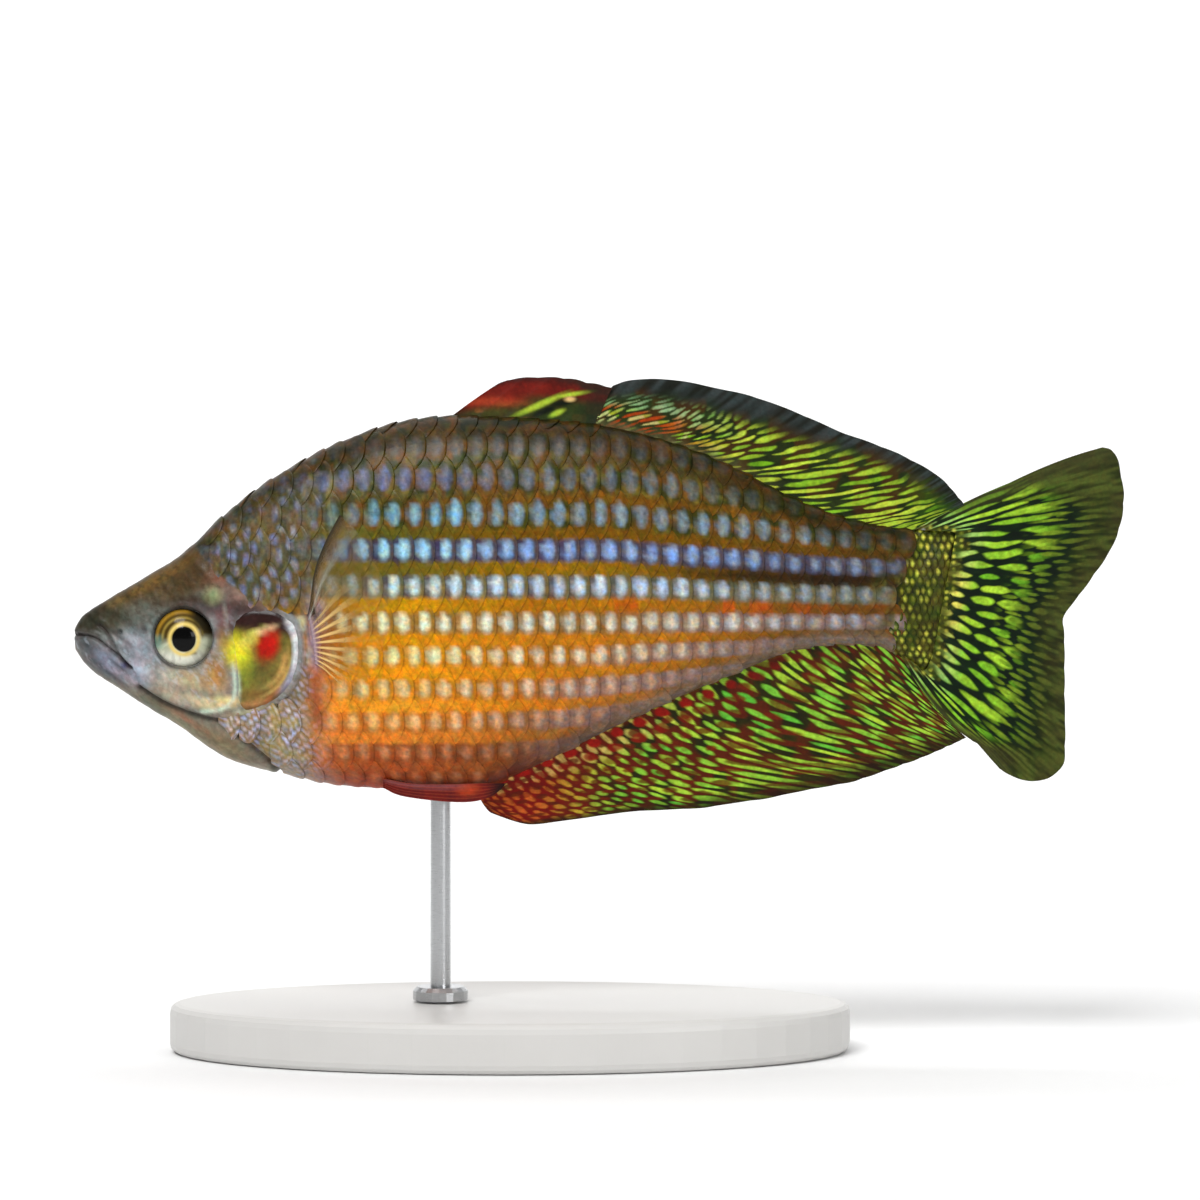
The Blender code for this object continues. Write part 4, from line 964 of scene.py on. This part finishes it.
def make_fin(name, node, surface, rays, per_ray, rows, painter, thick=0.17, root=0.35,
             forked=0.0, scallop=0.0, ray_high=0.13):
    """A fin as one closed sheet: fine ridges along its rays, joints across them, a thin edge.
    It has per_ray points from one ray to the next and rows of points from base to edge. thick is
    the sheet's thickness, root half its thickness at the base, and ray_high the ridges' height.
    forked tells how far the rays split, and scallop how deep the edge dips between them."""
    u, v = np.meshgrid(np.linspace(0, 1, (rays - 1) * per_ray + 1), np.linspace(0, 1, rows),
                       indexing="ij")
    ray = u * (rays - 1)
    nearest = np.abs(ray - np.round(ray)) * 2
    cut = scallop * v**3 * (0.35 + 0.65 * noise(ray * 2.0, 0 * ray, 1.0, 71)) * nearest**1.5
    reach = v * (1 - cut)
    middle = surface(u, reach)
    small = 0.004
    normal = np.cross(surface(u + small, reach) - surface(u - small, reach),
                      surface(u, reach + small) - surface(u, reach - small))
    normal /= np.linalg.norm(normal, axis=-1, keepdims=True) + 1e-12
    split = forked * step(0.35, 0.7, v)
    profile = (1 - split) * nearest + split * np.minimum(np.abs(nearest - 0.42) * 1.9, 1)
    ridge = bell(profile, 0.3)
    joints = 0.8 + 0.2 * np.cos(2 * math.pi * v * rows / 3.1)
    half = (thick / 2 + (root - thick / 2) * np.clip(1 - v / 0.3, 0, 1) ** 1.6
            + ray_high * ridge * joints * (1 - 0.75 * v) - 0.05 * step(0.9, 1.0, v))[..., None]
    number = np.arange(u.size).reshape(u.shape)
    rim = np.concatenate([number[:, 0], number[-1, 1:], number[-2::-1, -1], number[0, -2:0:-1]])
    after = np.roll(rim, -1)
    face = grid_quads(*u.shape)
    quads = np.concatenate([face[:, ::-1], face + u.size,
                            np.stack([rim, rim + u.size, after + u.size, after], axis=-1)])
    paint, extras = painter(ray, v, middle[..., 0], middle[..., 2], ridge), None
    if isinstance(paint, tuple):
        paint, cover = paint
        extras = {"cover": np.tile(cover.ravel(), 2)}
    obj = finish_mesh(name, np.stack([middle + normal * half, middle - normal * half]), quads,
                      np.stack([paint, paint]), extras)
    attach(obj, "root")
    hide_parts(node)
    return obj


def dashes(ray, out, length, gap, wide, seed, slant=0.0, per_ray=1, jitter=0.35, start=0.0,
           wander=0.3):
    """Rounded dashes in rows along the rays, from 0 to 1, and a random number for each dash.
    Lengths and gaps are shares of the fin's reach, and wide is a share of a row's width."""
    bend = wander * (noise(ray * per_ray * 0.6, out * 7, 1.0, seed + 5) - 0.5)
    lane_place = ray * per_ray + bend * 2 + slant * out
    lane = np.floor(lane_place)
    rng = np.random.default_rng(seed)
    shift = rng.random(512)[lane.astype(int) % 512]
    place = (out - start) / (length + gap) + jitter * shift + 0.5 * (lane % 2)
    which = np.floor(place)
    pick = ((lane * 31 + which * 17) % 509).astype(int)
    each, other = rng.random(512)[pick], rng.random(512)[pick]
    size = length / (length + gap) * (0.7 + 0.5 * each)
    wide = wide * (0.7 + 0.5 * other) * (0.8 + 0.4 * noise(ray * 3, out * 20, 1.0, seed + 9))
    along, off = place - which - 0.5, lane_place - lane - 0.5 + 0.1 * (other - 0.5)
    return step(1.3, 0.6, np.abs(along * 2 / size) ** 2.5 + np.abs(off * 2 / wide) ** 1.25), each


def second_dorsal_paint(ray, out, x, z, ridge):
    """Green dashes on black behind, cream and red ones in front, under a dark combed margin."""
    rear, front = step(84, 100, x), step(84, 72, x)
    web = layered((46, 58, 24), ((20, 26, 12), soft_noise(ray * 2, out * 8, 1.0, 81)),
                  ((80, 40, 8), 0.5 * step(0.42, 0.62, noise(x, z, 1.8, 87))))
    closer = ray + 4.4 * (1 - np.exp(-ray / 2.8))
    marks, each = dashes(closer, out, 0.19 + 0.2 * rear, 0.025, 0.66, 82, slant=-1 - 8 * front,
                         per_ray=2.2, jitter=0.5)
    light = layered((104, 160, 26), ((186, 204, 62), each),
                    ((216, 214, 150), front * step(0.5, 0.7, noise(x, z, 0.9, 89)) * 0.7),
                    ((120, 160, 124), front * step(0.28, 0.5, out) * 0.8),
                    ((164, 60, 14), step(0.5, 0.6, each) * front * step(0.55, 0.36, out)))
    reach = out + 0.1 * step(72, 65, x) - 0.12 * rear
    plain = step(102, 106, x) * step(0.05, 0.3, out) * (1 - 0.6 * marks)
    comb = np.clip(noise(ray * 11, out * 2, 1.0, 86) * 1.6 - 0.4 + 0.3 * ridge, 0, 1)
    low = step(0.2, 0.06, out - 0.1 * (noise(x, z, 0.9, 90) - 0.5))
    return layered(
        web, (grained(light, 0.55, 0.9, soft_noise(x, z, 0.5, 84)), marks * step(0.76, 0.48, reach)),
        ((46, 76, 16), 0.7 * plain),
        (mix((26, 28, 24), (58, 66, 68), comb * 0.8),
         0.95 * step(0.54, 0.8, reach - 0.12 * noise(ray * 5, out, 1.0, 88))),
        (mix((50, 52, 24), (104, 96, 62), soft_noise(x, z, 0.7, 94)), 0.85 * low * step(90, 76, x)))


def first_dorsal_paint(ray, out, x, z, ridge):
    """Dark red above, and moss below with yellow-green streaks beside black ones."""
    glow = bell(out - 0.42 + 0.02 * (x - 52), 0.13) * step(60, 55, x)
    moss = layered((70, 78, 34), ((40, 48, 22), soft_noise(x, z, 0.9, 92)),
                   ((150, 92, 44), 0.6 * step(0.55, 0.7, noise(x, z, 1.0, 93))))
    shade = np.maximum(blob(x, z, 60.6, 29.0, 1.9, 0.42, 14, 0.6),
                       blob(x, z, 58.2, 27.9, 1.9, 0.36, 24, 0.6))
    streak = np.maximum.reduce([blob(x, z, 57.6, 28.7, 3.0, 0.34, 24, 0.7),
                                blob(x, z, 61.6, 30.0, 2.2, 0.24, 9, 0.7),
                                blob(x, z, 59.8, 27.7, 0.9, 0.3, 24, 0.7)])
    edge = step(0.74, 1.0, out) + step(50, 46.5, x) + 0.8 * step(61.5, 64.5, x)
    return layered(
        (84, 22, 18), ((134, 36, 26), soft_noise(x, z, 1.2, 91)), ((186, 70, 40), 0.6 * glow),
        (moss, 0.9 * step(0.42, 0.16, out - 0.018 * (x - 50))),
        ((44, 58, 26), 0.85 * step(54, 58, x) * step(0.68, 0.45, out)),
        ((16, 22, 8), 0.92 * shade), ((176, 204, 60), 0.95 * streak),
        ((236, 196, 130), blob(x, z, 61.4, 29.4, 0.6, 0.28, 0, 0.7)),
        (mix((50, 20, 18), (32, 34, 28), step(59, 63, x)), np.clip(edge, 0, 1) * 0.85))


def anal_paint(ray, out, x, z, ridge):
    """Green dashes among russet ones, red and cream in front, and red spots along the base."""
    rear, front = step(78, 98, x), step(70, 56, x)
    web = layered((54, 50, 12), ((24, 26, 8), soft_noise(ray * 2, out * 9, 1.0, 101)),
                  ((96, 28, 10), 0.75 * step(0.35, 0.6, noise(x, z, 1.7, 104)) * (1 - 0.5 * rear)),
                  ((120, 20, 10), 0.92 * front))
    fan = -5.0 * step(76, 98, x)
    closer = ray + 1.5 * (1 - np.exp(-ray / 3))
    marks, each = dashes(closer, out, 0.125 + 0.05 * rear + 0.05 * front, 0.022 + 0.02 * rear, 0.7,
                         102, slant=fan - 1.6 * (1 - rear), per_ray=2.3, jitter=0.5, wander=0.2)
    light = layered((88, 176, 54), ((172, 202, 58), each), ((186, 70, 32), front * 0.94),
                    ((206, 168, 96), step(0.3, 0.16, out) * step(80, 64, x) * 0.8))
    brown, pick = dashes(ray + 0.4, out + 0.03, 0.07 + 0.06 * rear, 0.08, 0.66, 103, slant=fan,
                         per_ray=1.5, jitter=0.8)
    spot_ray, spot_out, _, ring = bricks(ray + 0.5, (out - 0.03) / 0.1)
    small = 0.46 - 0.12 * step(66, 86, x)
    spots = step(1.1, 0.7, np.hypot(spot_ray / 0.65, spot_out) / small
                 + 0.4 * (noise(x, z, 0.8, 107) - 0.5))
    reach = np.select([ring < 0, ring < 1, ring < 2, ring < 4],
                      [0 * x, step(94, 86, x), 0.8 * step(90, 80, x), 0.6 * step(82, 68, x)])
    red = mix((158, 26, 18), (100, 26, 12), np.clip(ring / 2, 0, 1) + step(68, 90, x))
    margin = step(0.78, 0.95, out - 0.06 * noise(x, z, 2.0, 105))
    return layered(
        web, (grained(light, 0.55, 0.9, soft_noise(x, z, 0.5, 106)), marks),
        (mix((110, 34, 10), (84, 30, 12), pick), brown * (0.85 - 0.15 * rear)),
        (red, spots * reach),
        ((104, 92, 44), 0.7 * step(0.045, 0.0, out) * (1 - 0.5 * step(96, 101, x))),
        (mix((34, 24, 12), (62, 56, 26), ridge), margin * 0.9),
        ((56, 24, 16), 0.5 * step(54, 50.5, x) * step(0.25, 0.6, out)))


def tail_paint(ray, out, x, z, ridge):
    """Bright green dashes on black, finer ones beyond them, and an olive edge."""
    web = mix((22, 40, 12), (8, 16, 5), soft_noise(ray * 2, out * 9, 1.0, 111))
    lobes = step(2.6, 6.0, np.abs(ray - 8.4))
    middle = bell(ray - 8.2, 3.4)
    closer = ray + 1.6 * (np.exp(-(16 - ray) / 2.5) - np.exp(-ray / 2.5))
    base, each = dashes(closer + 0.5, out, 0.2 + 0.2 * lobes, 0.03, 0.64, 112,
                        per_ray=1.3, start=-0.02, wander=0.16)
    light = layered((104, 172, 36), ((168, 206, 54), each),
                    ((230, 216, 96), step(0.22, 0.1, out) * middle),
                    ((166, 210, 130), (1 - middle) * step(0.26, 0.06, out) * 0.7))
    fine, pick = dashes(closer, out, 0.13 + 0.12 * lobes, 0.025, 0.62, 113, per_ray=2.6, jitter=0.9,
                        wander=0.2)
    thin = layered((72, 120, 22), ((132, 158, 40), pick), ((78, 90, 30), step(0.5, 0.8, out)))
    comb = np.clip(2.2 * noise(ray * 8, out * 9, 1.0, 115) - 0.6, 0, 1)
    streaks = layered((34, 42, 14), ((86, 96, 38), 0.2 * ridge + comb),
                      ((66, 56, 32), 0.6 * noise(x, z, 2.4, 114)))
    outer = step(0.7, 0.98, out + 0.3 * step(3.0, 0.5, ray) + 0.3 * step(13.0, 15.5, ray))
    edge = np.maximum(step(1.4, 0.2, ray), step(14.8, 15.8, ray)) * step(0.05, 0.3, out)
    rise, across, _, _ = bricks(z / 0.8, x / 0.95)
    return layered(
        web, (grained(light, 0.55, 0.9, soft_noise(x, z, 0.6, 116)), base * step(0.68, 0.5, out)),
        (grained(thin, 0.6, 0.8, soft_noise(x, z, 0.6, 117)),
         fine * step(0.4, 0.58, out) * step(1.0, 0.82, out)),
        (streaks, outer * 0.8), ((64, 64, 34), 0.75 * edge),
        (root_paint(x - 3, z, across, rise),
         0.9 * step(0.08, 0.0, out - 0.06 * noise(ray * 3, out, 1.0, 118))))


def pectoral_paint(ray, out, x, z, ridge):
    """Nearly clear, with a dark leading ray and a cream fan at the root, and how far it covers."""
    bright = step(0.85, 0.16, out) * step(1.6, 4.0, ray)
    bands = step(0.02, 0.3, ridge)
    lead, second = bell(ray, 0.5), bell(ray - 1.05, 0.25)
    colour = layered((116, 100, 66), ((186, 140, 76), soft_noise(x, z, 1.5, 121)),
                     (mix((164, 98, 36), (248, 208, 132), bands), bright),
                     ((176, 150, 160), step(0.12, 0.02, out)), ((30, 30, 20), 0.95 * lead),
                     ((176, 188, 180), 0.7 * second))
    cover = 0.05 + 0.3 * ridge * (1 - 0.8 * out) + 0.9 * lead + 0.85 * step(0.1, 0.02, out)
    cover = np.maximum(cover, bright * (0.3 + 0.5 * bands))
    return colour, np.clip(cover + 0.35 * second * (1 - out), 0, 0.97)


def pelvic_paint(ray, out, x, z, ridge):
    """Dark red, with a brighter spot and a dark edge."""
    return layered(
        (114, 30, 26), ((84, 26, 28), noise(x, z, 1.3, 131)),
        ((184, 64, 30), 0.8 * blob(x, z, 48.9, -18.6, 1.3, 0.8, 0, 0.6)),
        ((150, 92, 96), 0.5 * step(2.5, 0.5, ray) * step(0.8, 0.5, out)),
        ((158, 66, 42), 0.5 * ridge), ((44, 22, 22), step(0.82, 0.97, out)))


def make_fins():
    """All eight fins."""
    made = [
        make_fin("red_dorsal", "first_dorsal_fin", first_dorsal(), 6, 24, 36,
                 first_dorsal_paint, scallop=0.03),
        make_fin("long_dorsal", "second_dorsal_fin", second_dorsal(), 12, 30, 84,
                 second_dorsal_paint, forked=0.6, scallop=0.008),
        make_fin("long_anal", "anal_fin", anal(), 20, 20, 96, anal_paint,
                 forked=0.5, scallop=0.006),
        make_fin("tail_fan", "tail_fin", tail(), 17, 20, 110, tail_paint,
                 root=0.7, forked=1.0, scallop=0.006),
    ]
    for side, word in SIDES:
        made.append(make_fin("pectoral_fan_" + word, "pectoral_fin_" + word,
                             pectoral(side), 13, 10, 48, pectoral_paint, thick=0.1, root=0.45,
                             forked=0.6, scallop=0.03, ray_high=0.09))
        made.append(make_fin("pelvic_fan_" + word, "pelvic_fin_" + word,
                             pelvic(side), 6, 10, 40, pelvic_paint, thick=0.14, root=0.4,
                             scallop=0.02, ray_high=0.1))
    return made


def new_material(name):
    """A material, its node tree and shader, and the place on the object for its patterns."""
    material = bpy.data.materials.new(name)
    material.use_nodes = True
    tree = material.node_tree
    shader = next(n for n in tree.nodes if n.type == "BSDF_PRINCIPLED")
    return material, tree, shader, add_node(tree, "ShaderNodeTexCoord", "Object")


def fill(tree, node, inputs):
    """Set a node's inputs to values, or join them to other nodes' outputs."""
    for key, value in inputs.items():
        if isinstance(value, bpy.types.NodeSocket):
            tree.links.new(value, node.inputs[key])
        else:
            node.inputs[key].default_value = value


def add_node(tree, kind, output, inputs=None, **settings):
    """A new node with its settings and inputs, given by its named output."""
    node = tree.nodes.new(kind)
    for key, value in settings.items():
        setattr(node, key, value)
    fill(tree, node, inputs or {})
    return node.outputs[output]


def grain_node(tree, where, scale, detail=2.0):
    """Fine noise of a scale, fixed to the object."""
    return add_node(tree, "ShaderNodeTexNoise", "Fac",
                    {"Vector": where, "Scale": scale, "Detail": detail})


def spread_node(tree, grain, low, high):
    """A grain spread from a low to a high value."""
    return add_node(tree, "ShaderNodeMapRange", "Result",
                    {"Value": grain, "To Min": low, "To Max": high})


def bump_node(tree, grain, strength):
    """Fine bumps of a grain, a tenth of a millimetre deep at full strength."""
    return add_node(tree, "ShaderNodeBump", "Normal",
                    {"Height": grain, "Strength": strength, "Distance": 0.0001})


def ramp_node(tree, grain, ends, places=(0.0, 1.0)):
    """Colours from one end to the other along a grain."""
    node = tree.nodes.new("ShaderNodeValToRGB")
    for element, place, end in zip(node.color_ramp.elements, places, ends):
        element.position = place
        element.color = (*end, 1)
    fill(tree, node, {"Fac": grain})
    return node.outputs["Color"]


def painted(name, rough, grain_size, grain_bump, coat=0.0, shine=0.2, sheen_grain=0.12,
            cover=False):
    """A material that reads a piece's painted colours and adds fine grain, gloss and bump. With
    cover it also reads how far each place hides what lies behind."""
    material, tree, shader, where = new_material(name)
    fine = grain_node(tree, where, grain_size, 4.0)
    patchy = grain_node(tree, where, grain_size * 0.55)
    paint = add_node(tree, "ShaderNodeAttribute", "Color", attribute_name="paint")
    light = spread_node(tree, fine, 1 - sheen_grain, 1 + sheen_grain)
    shade = add_node(tree, "ShaderNodeVectorMath", "Vector", {0: paint, "Scale": light},
                     operation="SCALE")
    hues = ramp_node(tree, patchy, ((1 - 0.3 * sheen_grain, 1, 1 - 0.1 * sheen_grain),
                                    (1, 1 - 0.2 * sheen_grain, 1 - 0.3 * sheen_grain)),
                     (0.35, 0.65))
    tinted = add_node(tree, "ShaderNodeVectorMath", "Vector", {0: shade, 1: hues},
                      operation="MULTIPLY")
    fill(tree, shader, {
        "Base Color": tinted, "Roughness": spread_node(tree, fine, rough - 0.08, rough + 0.12),
        "Normal": bump_node(tree, fine, grain_bump), "Specular IOR Level": shine,
        "Coat Weight": coat, "Coat Roughness": 0.06})
    if cover:
        thin = add_node(tree, "ShaderNodeAttribute", "Fac", attribute_name="cover")
        fill(tree, shader, {"Alpha": thin})
    return material


def satin_white():
    """Satin white for the stand's base, with a fine peel."""
    material, tree, shader, where = new_material("satin_white")
    cloud = grain_node(tree, where, 60.0, 6.0)
    fill(tree, shader, {
        "Base Color": ramp_node(tree, cloud, ((0.60, 0.59, 0.57), (0.68, 0.67, 0.65))),
        "Roughness": spread_node(tree, cloud, 0.32, 0.48),
        "Normal": bump_node(tree, grain_node(tree, where, 900.0), 0.15)})
    return material


def brushed_rod():
    """Steel brushed along the stand's rod."""
    material, tree, shader, where = new_material("brushed_rod")
    stretched = add_node(tree, "ShaderNodeMapping", "Vector",
                         {"Vector": where, "Scale": (1.0, 1.0, 14.0)})
    brush = grain_node(tree, stretched, 900.0)
    fill(tree, shader, {
        "Base Color": ramp_node(tree, brush, ((0.42, 0.43, 0.44), (0.62, 0.63, 0.64))),
        "Roughness": spread_node(tree, brush, 0.22, 0.38), "Metallic": 1.0})
    return material


def sweep_paper():
    """Pale paper for the floor, with a fine fibre."""
    material, tree, shader, where = new_material("sweep_paper")
    fibre = grain_node(tree, where, 700.0)
    fill(tree, shader, {
        "Base Color": ramp_node(tree, fibre, ((0.87, 0.87, 0.87), (0.89, 0.89, 0.89))),
        "Roughness": 0.9})
    return material


def dress(obj, material):
    """Give an object one material."""
    obj.data.materials.clear()
    obj.data.materials.append(material)


# Floor and wall in metres, light from the sky, and the camera's lens and place: its distance is
# in metres, and x and z are in the fish's millimetres
SWEEP_CURVE, SWEEP_HALF_WIDTH = 0.35, 1.6
SKY_STRENGTH = 0.16
LENS = 100.0
VIEW_X, VIEW_Z, VIEW_AWAY = 65.1, 4.6, 0.4119


def make_sweep():
    """A pale floor, in metres, that curves up into a wall behind."""
    share = np.linspace(0, 1, 40)
    turn = np.clip((share - 0.4) / 0.3, 0, 1) * math.pi / 2
    y = 4.0 * np.minimum(share, 0.4) - 1.0 + SWEEP_CURVE * np.sin(turn)
    z = SWEEP_CURVE * (1 - np.cos(turn)) + 1.4 * np.maximum(share - 0.7, 0) / 0.3
    across = [-SWEEP_HALF_WIDTH, 0.0, SWEEP_HALF_WIDTH]
    points = np.array([[x, *place] for place in zip(y, z) for x in across])
    sweep = finish_mesh("sweep", points / MM - [-BASE_BEHIND_SNOUT, 0.0, MOUTH_HEIGHT],
                        grid_quads(len(share), len(across)))
    dress(sweep, sweep_paper())


def lamp(name, place, aim, width, height, watts):
    """A white rectangular light at a place, aimed at a point, in metres."""
    light = bpy.data.lights.new(name, "AREA")
    light.shape = "RECTANGLE"
    light.size, light.size_y = width, height
    light.energy = watts
    obj = bpy.data.objects.new(name, light)
    bpy.context.scene.collection.objects.link(obj)
    obj.location = place
    obj.rotation_euler = Vector(np.subtract(aim, place)).to_track_quat("-Z", "Y").to_euler()


def studio():
    """A pale sweep, broad soft lights and the camera at the photograph's angle."""
    scene = bpy.context.scene
    make_sweep()
    lamp("key", (-0.3, -0.62, 0.85), (0, 0, 0.06), 0.5, 0.35, 7.7)
    lamp("fill", (0.6, -0.75, 0.3), (0, 0, 0.05), 0.35, 0.35, 2.5)
    lamp("top", (0.0, 0.15, 0.9), (0, 0, 0), 0.9, 0.6, 2.8)
    lamp("sweep_light", (0.0, 0.35, 0.75), (0, 0.95, 0.3), 1.4, 0.3, 6.0)
    world = bpy.data.worlds.new("studio")
    world.use_nodes = True
    sky = world.node_tree.nodes["Background"]
    sky.inputs["Color"].default_value = (1, 1, 1, 1)
    sky.inputs["Strength"].default_value = SKY_STRENGTH
    scene.world = world
    scene.view_settings.view_transform = "Standard"
    scene.view_settings.look = "None"

    camera = bpy.data.cameras.new("camera")
    camera.type = "PERSP"
    camera.lens = LENS
    camera.sensor_width = 36.0
    camera.clip_start, camera.clip_end = 0.02, 20.0
    view = bpy.data.objects.new("camera", camera)
    scene.collection.objects.link(view)
    view.location = ((VIEW_X - BASE_BEHIND_SNOUT) * MM, -VIEW_AWAY, (VIEW_Z + MOUTH_HEIGHT) * MM)
    view.rotation_euler = (math.radians(90.0), 0.0, 0.0)
    scene.camera = view


def main():
    """Build the studio and every piece, each with its material."""
    studio()
    scale_gloss = painted("scale_gloss", 0.34, 2600.0, 0.3, coat=0.03, shine=0.12, sheen_grain=0.5)
    skin_gloss = painted("skin_gloss", 0.36, 1900.0, 0.4, coat=0.04, shine=0.15, sheen_grain=0.45)
    cover_gloss = painted("cover_gloss", 0.3, 2200.0, 0.3, coat=0.08, sheen_grain=0.4)
    fin_satin = painted("fin_satin", 0.5, 2400.0, 0.2, shine=0.12, sheen_grain=0.4)
    fin_clear = painted("fin_clear", 0.3, 2400.0, 0.1, coat=0.05, cover=True)
    eye_wet = painted("eye_wet", 0.2, 3000.0, 0.05, coat=0.12, shine=0.08, sheen_grain=0.08)
    dress(make_skin(), skin_gloss)
    for obj in make_scales():
        dress(obj, scale_gloss)
    for side, word in SIDES:
        dress(make_gill_cover(side, word), cover_gloss)
        dress(make_eye(side, word), eye_wet)
    for obj in make_fins():
        dress(obj, fin_clear if obj.name.startswith("pectoral") else fin_satin)
    dress(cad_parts["stand_base"], satin_white())
    dress(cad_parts["stand_rod"], brushed_rod())


main()
